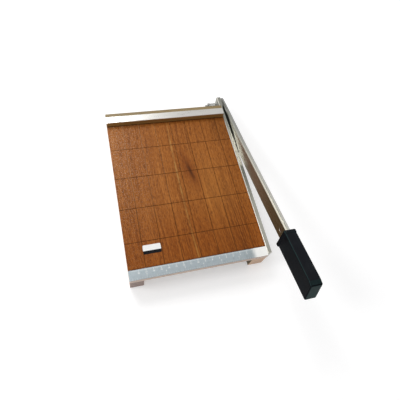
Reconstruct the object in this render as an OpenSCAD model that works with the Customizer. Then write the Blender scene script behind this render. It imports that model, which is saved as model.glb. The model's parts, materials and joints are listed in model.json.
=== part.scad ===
// Desk paper trimmer: a grooved wooden board on two runners, a steel bed knife along its right edge,
// and a blade arm that swings on a spring-loaded bolt behind the fence.
// Layout: X runs right from the board's left edge, Y runs away from the user with 0 at the grid's
// zero line, and Z runs up from the table. placed() then moves the origin to the middle of the footprint.
// The arm is drawn in its own frame: u runs from the pivot towards the handle, v is square to it and up.

/* [Board] */
// Width of the board
board_w = 193; // [150:1:260]
// Cutting length, from the grid's zero line to the near edge
cut_length = 254; // [200:1:330]
// Depth of the board behind the zero line
rear_margin = 14.8; // [8:0.2:18]
// Thickness of the board
board_t = 9; // [7:0.5:14]
// Spacing of the lengthwise grid lines
grid_col = 25.4; // [10:0.1:40]
// Distance of the first lengthwise line from the left edge
grid_first = 23.4; // [5:0.1:40]
// Spacing of the cross lines
grid_row = 50.8; // [10:0.1:80]
// Width of a grid groove
groove_w = 0.8; // [0.4:0.1:1.5]
// Depth of a grid groove
groove_d = 0.5; // [0.2:0.1:1]

/* [Runners] */
// Height of the runners
runner_h = 24.5; // [18:0.5:40]
// Width of the left runner
left_runner_w = 19; // [14:0.5:30]
// Width of the right runner, which also takes the bed knife's screws
right_runner_w = 22; // [16:0.5:30]

/* [Fence and rules] */
// How far the fence reaches in front of the zero line
fence_lap = 4.2; // [0:0.1:8]
// Height of the wooden fence above the board
fence_h = 7.8; // [5:0.2:16]
// Width of the metal rule on the fence
rear_rule_w = 12; // [8:0.5:16]
// Width of the metal rule along the near edge
front_rule_w = 13.5; // [8:0.5:20]
// Thickness of both rules
rule_t = 1; // [0.5:0.1:2]

/* [Label] */
// Width of the bare label
label_w = 24.4; // [10:0.2:40]
// Height of the bare label
label_h = 12.8; // [6:0.2:20]
// Thickness of the label
label_t = 0.3; // [0.2:0.1:0.8]
// Corner radius of the label
label_r = 1.6; // [0.5:0.1:2.5]
// Distance of the label from the board's left edge
label_x = 23.4; // [4:0.2:60]
// Distance of the label from the front rule
label_y = 18.6; // [2:0.2:60]

/* [Bed knife] */
// Thickness of the bed knife
bed_t = 6; // [4:0.25:8]
// How far the bed knife reaches down beside the runner
bed_lap = 10.6; // [9:0.2:16]
// How far its top stands above the board
bed_rise = 1.4; // [0.5:0.1:3]
// How far its near end stops short of the board's near edge
bed_setback = 3; // [2:0.25:6]
// Length of its ear behind the pivot
ear_tail = 14.6; // [10:0.2:25]
// Corner radius of the ear
ear_r = 3; // [1:0.25:6]
// Bevel along its inner top edge
bed_bevel = 0.8; // [0.2:0.1:1.5]

/* [Pivot] */
// Distance of the pivot behind the board
pivot_back = 10.6; // [10:0.2:25]
// Distance of the pivot below the board's top
pivot_drop = 9.6; // [7:0.2:12]
// Diameter of the bolt
bolt_d = 6; // [5:0.5:8]
// Diameter of the bolt's low round head
bolt_head_d = 13; // [10:0.5:18]
// Height of the bolt's head
bolt_head_h = 1.6; // [1.2:0.1:3]
// Width of the slot in the bolt's head
bolt_slot_w = 1.5; // [1:0.1:2]
// Depth of the slot in the bolt's head
bolt_slot_d = 0.8; // [0.4:0.1:1]
// Width across the flats of the nut
hex_flats = 10; // [9:0.5:13]
// Height of the nut
nut_h = 5; // [3:0.5:8]
// How far the bolt stands out of the nut
bolt_stickout = 2.5; // [1:0.5:6]
// Thickness of the spacing washer between the bed knife and the arm
spacer_t = 1.6; // [1:0.1:4]
// Diameter of the spacing washer
spacer_d = 17; // [12:0.5:20]
// Thickness of the two washers that hold the spring
spring_washer_t = 1.2; // [0.8:0.2:2.5]
// How far those washers stand out past the spring
spring_rim = 0.7; // [0.2:0.1:2]
// Length of the fitted spring
spring_l = 14.5; // [12:0.5:20]
// Room between the bolt and the inside of the spring
spring_clear = 3; // [0.5:0.1:4]
// Diameter of the spring's wire
wire_d = 1.8; // [1:0.1:2]
// Number of curls in the spring
curls = 3; // [2:0.5:4]

/* [Arm] */
// Angle of the raised arm above level, as it stands
rest_lift = 13.4; // [5:0.2:40]
// Height of the arm's back edge above the pivot
arm_top = 8.7; // [7:0.1:12]
// Length of the arm behind the pivot
arm_tail = 17; // [12:0.5:20]
// How far the arm stays flat past the washers beside it
pad_margin = 1; // [0.5:0.25:4]
// Corner radius of the arm's tail
tail_r = 4; // [1:0.5:6]
// Thickness of the blade
blade_t = 2.3; // [1.5:0.1:4]
// How far the blade runs on into the handle
blade_lap = 12; // [8:0.5:16]
// Depth of the cutting edge below the pivot at its lowest place
edge_low = 16.1; // [14:0.1:18]
// Distance of that lowest place from the guard
apex_back = 37; // [0:1:80]
// How much the curved cutting edge rises from its lowest place to the pivot
edge_rise = 6.4; // [3:0.1:7]
// Height of the ground bevel on the cutting edge
bevel_h = 3.5; // [2:0.1:5]
// Thickness left at the cutting edge
edge_land = 0.3; // [0.2:0.05:0.6]
// Bevel along the blade's inner top edge
back_bevel = 1.7; // [0.5:0.1:2]
// Where the arm's bend ends and it runs straight beside the bed knife
bend_end = 112; // [60:1:150]
// Thickness of the bar that backs the blade
bar_t = 3.3; // [2:0.1:5]
// Depth of the bar below the pivot
bar_low = 8.4; // [7:0.1:9]
// Height of the bar's tang inside the handle
tang_h = 11; // [8:0.5:14]
// Length of the tang inside the handle, from the guard's front
tang_l = 59; // [48:0.5:66]
// Distance of the blade's screw from the guard's front
blade_screw_back = 8.4; // [5:0.2:20]
// Distance of the blade's screw below the pivot
blade_screw_v = 4; // [2:0.2:4.4]

/* [Handle] */
// Room between the bed knife's near end and the guard when the arm is level
guard_clear = 0.3; // [0.2:0.1:4]
// Lean of the guard's front between its bottom and its top
guard_lean = 3; // [0:0.25:5]
// Length of the guard along the arm
guard_l = 6; // [5:0.5:10]
// How far the guard reaches below the handle
guard_drop = 2.5; // [1:0.1:6]
// How far the guard stands proud of the handle's top and sides
guard_proud = 0.4; // [0.2:0.1:1]
// Wall of the handle beside the arm
handle_side = 5; // [3:0.1:5.4]
// Length of the handle past the tang
handle_tail = 24.6; // [18:0.2:40]
// Wall of the handle above the arm, at the guard
handle_cap = 3.4; // [2.5:0.1:6]
// Wall of the handle below the arm, at the guard
handle_floor = 3.8; // [1.5:0.1:5]
// How much the top comes down towards the end
top_taper = 0.3; // [0:0.1:3]
// How much the underside comes up towards the end
low_taper = 1; // [0:0.1:4]
// How much the end face leans forward at its top
end_lean = 3; // [0:0.2:8]
// Length of the sloped facet on the top at the end
facet_l = 7; // [3:0.5:10]
// Drop of that facet
facet_drop = 1.6; // [0.5:0.1:3]
// Height of the sunk strip along the foot of each side
strip_h = 9.5; // [4:0.5:14]
// Depth of that strip
strip_sink = 0.5; // [0.2:0.1:1]
// How far it stops short of the handle's end
strip_stop = 13; // [6:0.5:30]
// Rounding of the handle's edges
handle_r = 1.7; // [1:0.1:2.2]
// Distance of the handle's screw from the guard's front
handle_screw_in = 37; // [22:1:42]

/* [Screws] */
// Shank diameter of the wood screws
screw_d = 3.6; // [2.5:0.1:4.5]
// Head diameter of the wood screws
screw_head_d = 7; // [6:0.1:8]
// Shank diameter of the machine screws in the arm
arm_screw_d = 3.6; // [3:0.1:4.2]
// Head diameter of the machine screws in the arm
arm_screw_head_d = 6.8; // [6:0.1:7.4]
// Width of the slot in a screw head
slot_w = 0.9; // [0.5:0.1:1.2]
// Depth of the slot in a screw head
slot_d = 0.8; // [0.4:0.1:1]
// Chamfer at the tip of a machine screw
screw_tip = 0.8; // [0.3:0.1:1.2]
// Number of screws in each runner
runner_screw_count = 3; // [2:1:5]
// Distance of a runner's end screws from the board's ends
runner_screw_inset = 44; // [30:1:56]
// Number of screws in the fence
fence_screw_count = 3; // [2:1:5]
// Distance of the fence's end screws from the board's sides
fence_screw_inset = 32; // [8:1:50]
// Number of screws in the bed knife
bed_screw_count = 4; // [3:1:6]
// Distance of the bed knife's end screws from the board's ends
bed_screw_inset = 16; // [12:1:24]
// How far the bed knife's screws bite into the wood
bed_screw_bite = 12; // [8:0.5:16]
// How far a wood screw's head is sunk below the face
screw_sink = 0.8; // [0.3:0.1:2]
// How far the heads in the bed knife, the blade and the handle are sunk
flush_sink = 0.2; // [0.1:0.05:0.4]
// Wood left over the tip of a screw
tip_cover = 2; // [1:0.5:4]

/* [Fits] */
// Gap between the blade and the bed knife's outer face
blade_gap = 0.2; // [0.1:0.05:0.5]
// Gap between the turning arm and the washers beside it
run_gap = 0.1; // [0.05:0.05:0.3]
// Radial clearance of the bolt in the arm and the bed knife
bolt_fit = 0.05; // [0.02:0.01:0.1]
// Radial clearance of the washers and the nut on the bolt
washer_fit = 0.1; // [0.05:0.05:0.3]
// Clearance of a screw in its hole
screw_fit = 0.05; // [0.02:0.01:0.1]
// Clearance of the arm in the handle's socket
socket_fit = 0.12; // [0.05:0.01:0.3]

/* [Hidden] */
round_fn = 48;
ball_fn = 20;
// How far a cutter runs past the face it opens
past = 1;

// Heights and depths of the wooden base
board_d = cut_length + rear_margin;
top_z = runner_h + board_t;
fence_d = fence_lap + rear_margin;
right_runner_x = board_w - right_runner_w;
pivot_y = rear_margin + pivot_back;

// Bed knife
bed_in = board_w;
bed_out = board_w + bed_t;
bed_h = bed_rise + board_t + bed_lap;
bed_y0 = bed_setback - cut_length;
bed_y1 = pivot_y + ear_tail;
bed_z0 = top_z + bed_rise - bed_h;
bed_screw_z = (bed_z0 + runner_h) / 2;

// Stack along the pivot bolt, from the nut on the left to the head on the right
pivot_z = top_z - pivot_drop;
spring_d = bolt_d + 2 * (spring_clear + wire_d);
spring_washer_d = spring_d + 2 * spring_rim;
seat_x = bed_in - spring_washer_t;
spring_x = seat_x - spring_l;
nut_washer_x = spring_x - spring_washer_t;
nut_x = nut_washer_x - nut_h;
bolt_x0 = nut_x - bolt_stickout;
arm_in = bed_out + spacer_t + run_gap;
arm_out = arm_in + blade_t + bar_t;
bolt_head_x = arm_out + run_gap;
bolt_x1 = bolt_head_x + bolt_head_h;

// Arm: lengths along it come from the guard, which closes just in front of the bed knife's near end
guard_u = pivot_y - bed_y0 + guard_clear;
blade_end = guard_u + blade_lap;
tang_end = guard_u + tang_l;
handle_end = tang_end + handle_tail;
blade_screw_u = guard_u - blade_screw_back;
handle_screw_u = guard_u + handle_screw_in;
edge_apex = guard_u - apex_back;
edge_radius = edge_apex * edge_apex / (2 * edge_rise);

// Across the arm, x is measured from the blade's inner face where it runs straight
blade_x = bed_out + blade_gap;
bend_x = arm_in - blade_x;
pad_u = max(spacer_d, bolt_head_d) / 2 + pad_margin;
arm_w = blade_t + bar_t;
arm_mid = arm_w / 2;
tang_u = blade_end + socket_fit;
blade_stations = 16;
tail_step = 15;

// Handle, with heights measured from the pivot
handle_top = arm_top + handle_cap;
handle_low = edge_low + handle_floor;
guard_low = handle_low + guard_drop;
guard_back = guard_u + guard_l;
handle_top_end = handle_top - top_taper;
handle_low_end = handle_low - low_taper;
end_top_u = handle_end - end_lean;
facet_u = end_top_u - facet_l;
handle_half = arm_mid + handle_side;
guard_half = handle_half + guard_proud;
handle_out = arm_mid + handle_half;

// Footprint, from which the origin is taken
function turned_y(u, v) = pivot_y - u * cos(rest_lift) + v * sin(rest_lift);
far_y = max(bed_y1, turned_y(tail_r - arm_tail, arm_top - tail_r) + tail_r);
near_y = turned_y(handle_end - handle_r, handle_r - handle_low_end) - handle_r;
right_x = max(bolt_x1, blade_x + arm_mid + guard_half);
origin = [right_x / 2, (far_y + near_y) / 2, 0];

// Places spread evenly from a to b, both ends included
function spread(a, b, count) = [for (i = [0 : count - 1]) a + (b - a) * i / (count - 1)];
// The same along the board's depth, with the ends set in
function along_board(inset, count) = spread(inset - cut_length, rear_margin - inset, count);
// Depth of the cutting edge at u
function edge_v(u) = (u - edge_apex) * (u - edge_apex) / (2 * edge_radius) - edge_low;
// Sideways offset of the arm at u: it stands off at the pivot and comes in to run beside the bed knife
function offset_x(u) = bend_x * max(0, min(1, (bend_end - u) / (bend_end - pad_u)));

module placed() {
  translate(-origin) children();
}

// The arm's own frame, with u along -Y and v along Z before it is turned up
module arm_frame() {
  placed() translate([blade_x, pivot_y, pivot_z]) rotate([-rest_lift, 0, 0]) children();
}

// A flat outline in u and v, thickened from x0 by t
module side_plate(x0, t) {
  translate([x0 + t, 0, 0]) rotate([90, 0, -90]) linear_extrude(t) children();
}

// A rod along X on the pivot's axis
module pivot_rod(x0, x1, d) {
  translate([x0, pivot_y, pivot_z]) rotate([0, 90, 0]) cylinder(h = x1 - x0, d = d, $fn = round_fn);
}

module pivot_washer(x0, t, d) {
  placed() difference() {
    pivot_rod(x0, x0 + t, d);
    pivot_rod(x0 - past, x0 + t + past, bolt_d + 2 * washer_fit);
  }
}

// A hexagon along X on the pivot's axis
module pivot_hex(x0, h) {
  translate([x0, pivot_y, pivot_z]) rotate([0, 90, 0])
    cylinder(h = h, d = hex_flats / cos(30), $fn = 6);
}

// A countersunk screw from its head at the origin along +Z
module screw(l, d, head_d, tip) {
  r = d / 2;
  head_r = head_d / 2;
  difference() {
    rotate_extrude($fn = round_fn)
      polygon([[0, 0], [head_r, 0], [r, head_r - r], [r, l - tip], [r - tip / 2, l], [0, l]]);
    translate([-head_d / 2, -slot_w / 2, -past]) cube([head_d, slot_w, past + slot_d]);
  }
}

// The hole for that screw, open above its head
module screw_hole(l, d, head_d, sink) {
  r = d / 2 + screw_fit;
  head_r = head_d / 2 + screw_fit;
  rotate_extrude($fn = round_fn)
    polygon([[0, -sink - past], [head_r, -sink - past], [head_r, 0], [r, head_r - r], [r, l + screw_fit],
             [0, l + screw_fit]]);
}

// Screws that run up through a runner into the board
module at_runner_screws(x0, w) {
  for (y = along_board(runner_screw_inset, runner_screw_count))
    translate([x0 + w / 2, y, screw_sink]) children();
}

// Screws that run up through the board into the fence
module at_fence_screws() {
  for (x = spread(fence_screw_inset, board_w - fence_screw_inset, fence_screw_count))
    translate([x, rear_margin - fence_d / 2, runner_h + screw_sink]) children();
}

// Screws that run in through the bed knife into the right runner
module at_bed_screws() {
  for (y = along_board(bed_screw_inset, bed_screw_count))
    translate([bed_out - flush_sink, y, bed_screw_z]) rotate([0, -90, 0]) children();
}

module runner_screw() {
  screw(runner_screw_l, screw_d, screw_head_d, screw_d / 2);
}

module runner_screw_hole() {
  screw_hole(runner_screw_l, screw_d, screw_head_d, screw_sink);
}

module fence_screw_hole() {
  screw_hole(fence_screw_l, screw_d, screw_head_d, screw_sink);
}

module bed_screw_hole() {
  screw_hole(bed_screw_l, screw_d, screw_head_d, flush_sink);
}

runner_screw_l = runner_h + board_t - screw_sink - tip_cover;
fence_screw_l = board_t + fence_h - screw_sink - tip_cover;
bed_screw_l = bed_t + bed_screw_bite - flush_sink;

// A rectangle with round corners
module round_rect(w, h, r) {
  translate([r, 0]) square([w - 2 * r, h]);
  translate([0, r]) square([w, h - 2 * r]);
  for (x = [r, w - r], y = [r, h - r]) translate([x, y]) circle(r, $fn = round_fn);
}

// A strip from the arm's tail to u1, with the tail's two corners round
module tail_strip(u1, low, high, r) {
  translate([r - arm_tail, low]) square([u1 + arm_tail - r, high - low]);
  translate([-arm_tail, low + r]) square([2 * r, high - low - 2 * r]);
  for (v = [low + r, high - r]) translate([r - arm_tail, v]) circle(r, $fn = round_fn);
}

// A solid through a row of outlines that all have the same number of points
module loft(rows) {
  n = len(rows[0]);
  last = len(rows) - 1;
  sides = [for (i = [0 : last - 1], j = [0 : n - 1])
    let (a = i * n + j, b = i * n + (j + 1) % n)
      each [[a, b, b + n], [a, b + n, a + n]]];
  caps = [for (j = [1 : n - 2]) each [[0, j + 1, j], [last * n, last * n + j, last * n + j + 1]]];
  polyhedron([for (row = rows) each row], concat(sides, caps));
}

module board() {
  color("#9a5a2c") placed() difference() {
    translate([0, -cut_length, runner_h]) cube([board_w, board_d, board_t]);
    for (x = [grid_first : grid_col : board_w - groove_w])
      translate([x - groove_w / 2, front_rule_w - cut_length, top_z - groove_d])
        cube([groove_w, cut_length - front_rule_w - fence_lap, groove_d + past]);
    for (y = [grid_row : grid_row : cut_length - front_rule_w - groove_w])
      translate([-past, -y - groove_w / 2, top_z - groove_d])
        cube([board_w + 2 * past, groove_w, groove_d + past]);
    at_runner_screws(0, left_runner_w) runner_screw_hole();
    at_runner_screws(right_runner_x, right_runner_w) runner_screw_hole();
    at_fence_screws() fence_screw_hole();
    at_bed_screws() bed_screw_hole();
  }
}

module runner(x0, w) {
  difference() {
    translate([x0, -cut_length, 0]) cube([w, board_d, runner_h]);
    at_runner_screws(x0, w) runner_screw_hole();
  }
}

module left_runner() {
  color("#c9a98c") placed() runner(0, left_runner_w);
}

module right_runner() {
  color("#c9a98c") placed() difference() {
    runner(right_runner_x, right_runner_w);
    at_bed_screws() bed_screw_hole();
  }
}

module runner_screws() {
  color("silver") placed() {
    at_runner_screws(0, left_runner_w) runner_screw();
    at_runner_screws(right_runner_x, right_runner_w) runner_screw();
  }
}

module rear_fence() {
  color("#b99760") placed() difference() {
    translate([0, -fence_lap, top_z]) cube([board_w, fence_d, fence_h]);
    at_fence_screws() fence_screw_hole();
  }
}

module fence_screws() {
  color("silver") placed() at_fence_screws() screw(fence_screw_l, screw_d, screw_head_d, screw_d / 2);
}

module rear_rule() {
  color("#dcdcdc") placed()
    translate([0, -fence_lap, top_z + fence_h]) cube([board_w, rear_rule_w, rule_t]);
}

module front_rule() {
  color("#cfd6d8") placed() translate([0, -cut_length, top_z]) cube([board_w, front_rule_w, rule_t]);
}

module label_plate() {
  color("#f2f2ee") placed() translate([label_x, front_rule_w + label_y - cut_length, top_z])
    linear_extrude(label_t) round_rect(label_w, label_h, label_r);
}

module bed_knife() {
  color("#b9b8a8") placed() difference() {
    union() {
      translate([bed_in, bed_y0, bed_z0]) cube([bed_t, bed_y1 - bed_y0 - ear_r, bed_h]);
      translate([bed_in, bed_y0, bed_z0 + ear_r]) cube([bed_t, bed_y1 - bed_y0, bed_h - 2 * ear_r]);
      for (z = [bed_z0 + ear_r, bed_z0 + bed_h - ear_r])
        translate([bed_in, bed_y1 - ear_r, z]) rotate([0, 90, 0])
          cylinder(h = bed_t, r = ear_r, $fn = round_fn);
    }
    translate([bed_in, bed_y0 - past, bed_z0 + bed_h]) rotate([0, 45, 0])
      translate([-bed_bevel * sqrt(0.5), 0, -bed_bevel * sqrt(0.5)])
        cube([bed_bevel * sqrt(2), bed_y1 - bed_y0 + 2 * past, bed_bevel * sqrt(2)]);
    pivot_rod(bed_in - past, bed_out + past, bolt_d + 2 * bolt_fit);
    at_bed_screws() bed_screw_hole();
  }
}

module bed_knife_screws() {
  color("silver") placed() at_bed_screws() screw(bed_screw_l, screw_d, screw_head_d, screw_d / 2);
}

module pivot_bolt() {
  color("#a8a8a4") placed() difference() {
    union() {
      pivot_rod(bolt_x0, bolt_head_x + bolt_slot_d / 4, bolt_d);
      pivot_rod(bolt_head_x, bolt_x1, bolt_head_d);
    }
    translate([bolt_x1 - bolt_slot_d, pivot_y - bolt_slot_w / 2, pivot_z - bolt_head_d])
      cube([bolt_slot_d + past, bolt_slot_w, 2 * bolt_head_d]);
  }
}

module spacing_washer() {
  color("#8f8f88") pivot_washer(bed_out, spacer_t, spacer_d);
}

module spring_seat_washer() {
  color("#c4c4c0") pivot_washer(seat_x, spring_washer_t, spring_washer_d);
}

module nut_washer() {
  color("#c4c4c0") pivot_washer(nut_washer_x, spring_washer_t, spring_washer_d);
}

module pivot_nut() {
  color("#b0b0ac") placed() difference() {
    pivot_hex(nut_x, nut_h);
    pivot_rod(nut_x - past, nut_x + nut_h + past, bolt_d + 2 * washer_fit);
  }
}

// Spring: a helix whose two ends run straight along the bolt, square to the washers
wire_sides = 6;
curl_rings = 8;
coil_r = (spring_d - wire_d) / 2;
coil_rise = spring_l - 2 * wire_d;
ring_count = curls * curl_rings;
function coil_point(i) =
  let (a = 360 * i / curl_rings) [wire_d + coil_rise * i / ring_count, coil_r * cos(a), coil_r * sin(a)];
function end_point(i, x) = let (p = coil_point(i)) [x, p[1], p[2]];
spring_line = concat([end_point(0, 0)], [for (i = [0 : ring_count]) coil_point(i)],
                     [end_point(ring_count, spring_l)]);
spring_last = len(spring_line) - 1;
function unit(v) = v / norm(v);
function line_dir(i) =
  i == 0 || i == spring_last ? [1, 0, 0] :
    unit(unit(spring_line[i + 1] - spring_line[i]) + unit(spring_line[i] - spring_line[i - 1]));
function wire_ring(i) =
  let (p = spring_line[i], out = unit([0, p[1], p[2]]), dir = line_dir(i),
       e1 = unit(out - (out * dir) * dir), e2 = cross(dir, e1))
    [for (k = [0 : wire_sides - 1]) let (a = 360 * k / wire_sides)
      p + wire_d / 2 * (cos(a) * e1 + sin(a) * e2)];
// Least gap between the wire and itself, over points more than half a curl apart
spring_gap = min([for (i = [0 : spring_last], j = [i + curl_rings / 2 + 1 : 1 : spring_last])
  norm(spring_line[i] - spring_line[j])]) - wire_d;
echo(spring_gap = spring_gap);

module pivot_spring() {
  color("#c8c8c2") placed() translate([spring_x, pivot_y, pivot_z])
    loft([for (i = [0 : spring_last]) wire_ring(i)]);
}

// The back's bevel stops short of the blade's outer face
back_cut = min(back_bevel, blade_t - edge_land);
// How far the round corners of the tail draw the blade's two edges in at u
function tail_inset(u) =
  let (d = tail_r - arm_tail - u) d > 0 ? tail_r - sqrt(max(0, tail_r * tail_r - d * d)) : 0;
// Section of the blade at u: the ground bevel is on the outer side, so the inner face stays flat
function blade_row(u) =
  let (x = offset_x(u), low = edge_v(u) + tail_inset(u), high = arm_top - tail_inset(u), y = -u)
    [[x, y, low], [x + edge_land, y, low], [x + blade_t, y, low + bevel_h],
     [x + blade_t, y, high], [x + back_cut, y, high], [x, y, high - back_cut]];

module pivot_hole() {
  translate([-past, 0, 0]) rotate([0, 90, 0])
    cylinder(h = bend_x + arm_w + 2 * past, d = bolt_d + 2 * bolt_fit, $fn = round_fn);
}

module at_blade_screw() {
  translate([flush_sink, -blade_screw_u, -blade_screw_v]) rotate([0, 90, 0]) children();
}

blade_screw_l = arm_w - 2 * flush_sink;

module blade() {
  tail_u = [for (a = [0 : tail_step : 90]) tail_r * (1 - cos(a)) - arm_tail];
  straight_u = [for (i = [0 : blade_stations]) bend_end + i * (blade_end - bend_end) / blade_stations];
  color("#8d8671") arm_frame() difference() {
    loft([for (u = concat(tail_u, [pad_u], straight_u)) blade_row(u)]);
    pivot_hole();
    at_blade_screw() screw_hole(blade_screw_l, arm_screw_d, arm_screw_head_d, flush_sink);
  }
}

// Plan of the bar: it follows the blade's outer face, with the same bend
module bar_plan() {
  stations = [-arm_tail - past, pad_u, bend_end, tang_end + past];
  count = len(stations);
  polygon([
    for (i = [0 : count - 1]) [offset_x(stations[i]) + blade_t, -stations[i]],
    for (i = [count - 1 : -1 : 0]) [offset_x(stations[i]) + arm_w, -stations[i]]
  ]);
}

module at_handle_screw() {
  translate([handle_out - flush_sink, -handle_screw_u, 0]) rotate([0, -90, 0]) children();
}

handle_screw_l = handle_out - flush_sink;

module arm_bar() {
  color("#a9a79c") arm_frame() difference() {
    intersection() {
      translate([0, 0, -bar_low]) linear_extrude(bar_low + arm_top) bar_plan();
      side_plate(-past, bend_x + arm_w + 2 * past) {
        tail_strip(tang_u, -bar_low, arm_top, tail_r);
        translate([tang_u - past, -tang_h / 2]) square([tang_end - tang_u + past, tang_h]);
      }
    }
    pivot_hole();
    at_blade_screw() screw_hole(blade_screw_l, arm_screw_d, arm_screw_head_d, flush_sink);
    at_handle_screw() screw_hole(handle_screw_l, arm_screw_d, arm_screw_head_d, flush_sink);
  }
}

module blade_screw() {
  color("silver") arm_frame() at_blade_screw()
    screw(blade_screw_l, arm_screw_d, arm_screw_head_d, screw_tip);
}

// A block with round edges: a hull of balls set in from the side corners and the given half width
module rounded_block(corners, half, r) {
  hull()
    for (c = corners, side = [-1, 1])
      translate([arm_mid + side * (half - r), -c[0], c[1]]) sphere(r, $fn = ball_fn);
}

// Room for the arm inside the handle: both strips at the mouth, then the tang alone
module socket() {
  translate([-socket_fit, -blade_end - 2 * socket_fit, -edge_low - socket_fit])
    cube([arm_w + 2 * socket_fit, blade_end - guard_u + past + guard_lean,
          edge_low + arm_top + 2 * socket_fit]);
  translate([blade_t - socket_fit, -tang_end - socket_fit, -tang_h / 2 - socket_fit])
    cube([bar_t + 2 * socket_fit, tang_end - guard_u, tang_h + 2 * socket_fit]);
}

// The strips sunk into the foot of the handle's sides, from the guard nearly to the end
module foot_strips() {
  strip_l = handle_end - strip_stop - guard_back;
  for (side = [-1, 1])
    translate([arm_mid + side * handle_half - strip_sink, -guard_back - strip_l, -handle_low - past])
      cube([2 * strip_sink, strip_l, strip_h + past]);
}

module handle() {
  r = handle_r;
  grip = [
    [guard_u + guard_lean + r, handle_top - r],
    [guard_u + guard_lean + r, r - handle_low],
    [facet_u, handle_top_end - r],
    [end_top_u - r, handle_top_end - facet_drop - r],
    [handle_end - r, r - handle_low_end]
  ];
  guard_top = handle_top + guard_proud;
  guard = [
    [guard_u + r, r - guard_low],
    [guard_u + guard_lean + r, guard_top - r],
    [guard_back + guard_lean - r, guard_top - r],
    [guard_back - r, r - guard_low]
  ];
  color("#20262a") arm_frame() difference() {
    union() {
      difference() {
        rounded_block(grip, handle_half, r);
        foot_strips();
      }
      rounded_block(guard, guard_half, r);
    }
    socket();
    at_handle_screw() screw_hole(handle_screw_l, arm_screw_d, arm_screw_head_d, flush_sink);
  }
}

module handle_screw() {
  color("silver") arm_frame() at_handle_screw()
    screw(handle_screw_l, arm_screw_d, arm_screw_head_d, screw_tip);
}

board();
left_runner();
right_runner();
runner_screws();
rear_fence();
fence_screws();
rear_rule();
front_rule();
label_plate();
bed_knife();
bed_knife_screws();
pivot_bolt();
spacing_washer();
spring_seat_washer();
pivot_spring();
nut_washer();
pivot_nut();
blade();
arm_bar();
blade_screw();
handle();
handle_screw();
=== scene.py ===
"""Looks of a desk paper trimmer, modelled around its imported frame.

A veneered board ruled with grooves stands on two wooden runners. A fence with a metal rule closes its back,
a second rule with printed marks lies along its near edge, and a steel bed knife is screwed to its right
side. The blade arm turns on a bolt behind the fence, where a spring and a nut hold it against the bed
knife's ear.
"""

import json
import logging
import math
from contextlib import contextmanager
from dataclasses import dataclass, field
from enum import Enum
from functools import cache
from typing import Any, Callable, Iterator, Sequence

import bmesh
import bpy
from mathutils import Matrix, Vector


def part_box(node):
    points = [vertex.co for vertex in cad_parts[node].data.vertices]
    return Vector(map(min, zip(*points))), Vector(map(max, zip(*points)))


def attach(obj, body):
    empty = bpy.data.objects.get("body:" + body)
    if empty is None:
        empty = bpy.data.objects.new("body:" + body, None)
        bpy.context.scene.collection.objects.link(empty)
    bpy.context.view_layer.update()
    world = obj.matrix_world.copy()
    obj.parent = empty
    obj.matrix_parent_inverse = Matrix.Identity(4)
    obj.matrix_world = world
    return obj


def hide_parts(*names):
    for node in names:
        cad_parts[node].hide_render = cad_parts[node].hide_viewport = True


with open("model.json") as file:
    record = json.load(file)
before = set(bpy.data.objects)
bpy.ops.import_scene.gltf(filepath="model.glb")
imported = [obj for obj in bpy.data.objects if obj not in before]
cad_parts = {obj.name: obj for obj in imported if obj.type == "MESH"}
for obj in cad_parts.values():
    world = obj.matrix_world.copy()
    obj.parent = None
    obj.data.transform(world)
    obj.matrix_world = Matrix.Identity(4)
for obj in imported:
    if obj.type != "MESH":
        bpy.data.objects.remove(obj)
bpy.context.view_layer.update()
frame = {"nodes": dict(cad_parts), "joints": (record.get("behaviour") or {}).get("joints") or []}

LOG = logging.getLogger("trimmer")
MM = 0.001
INCH = 25.4 * MM
PER_MM = 1000.0
# Two faces or places closer than this count as one
TOUCH = 0.01 * MM
# Vertices closer than this are welded into one
WELD = 0.001 * MM
# How far a cutter runs past the face that it opens
PAST = 1.0 * MM
# Faces that turn less than this from each other count as one flat
FLAT = math.radians(0.5)
# How much more the wide faces weigh in the shading, on Blender's scale
WIDE_WEIGHT = 90
# The middle of a noise, and the ranges that hold most of it and nearly all of it
MIDWAY = 0.5
MOST = (0.3, 0.7)
NEARLY_ALL = (0.2, 0.8)
# A part of a normal above these points mostly, almost or wholly that way
MOSTLY = 0.5
ALMOST = 0.9
WHOLLY = 0.99
RIGHT = Vector((1, 0, 0))
LEFT = Vector((-1, 0, 0))
UP = Vector((0, 0, 1))

Colour = tuple[float, float, float]
Triple = tuple[float, float, float]
Piece = bpy.types.Object
Socket = bpy.types.NodeSocket
Inputs = dict[str | int, Any]
Outputs = bpy.types.bpy_prop_collection
FaceTest = Callable[[Vector, Vector], bool]


class Body(Enum):
    """The rigid bodies of the trimmer."""

    BASE = "base"
    ARM = "arm"


class Slot(Enum):
    """The record's material slots."""

    BOARD = "board_veneer"
    RUNNER = "runner_wood"
    FENCE = "fence_wood"
    REAR_RULE = "rear_rule_metal"
    FRONT_RULE = "front_rule_metal"
    LABEL = "label"
    BED = "bed_steel"
    BLADE = "blade_steel"
    BAR = "bar_steel"
    HARDWARE = "hardware"
    SPRING = "spring_steel"
    HANDLE = "handle_plastic"


class Element(Enum):
    """What a selection in edit mode is made of."""

    VERT = "VERT"
    EDGE = "EDGE"
    FACE = "FACE"


class Work(Enum):
    """What a second piece does to the first."""

    CUT = "DIFFERENCE"
    ADD = "UNION"
    MEET = "INTERSECT"


class Fill(Enum):
    """What lies inside a flat outline."""

    FACE = "NGON"
    NOTHING = "NOTHING"


class Grain(Enum):
    """The axis that a piece of wood's grain runs along."""

    ALONG_X = 0
    ALONG_Y = 1


class Tint(Enum):
    """How one colour is laid over another."""

    COVER = "MIX"
    SHADE = "MULTIPLY"


# Finishes


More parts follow.
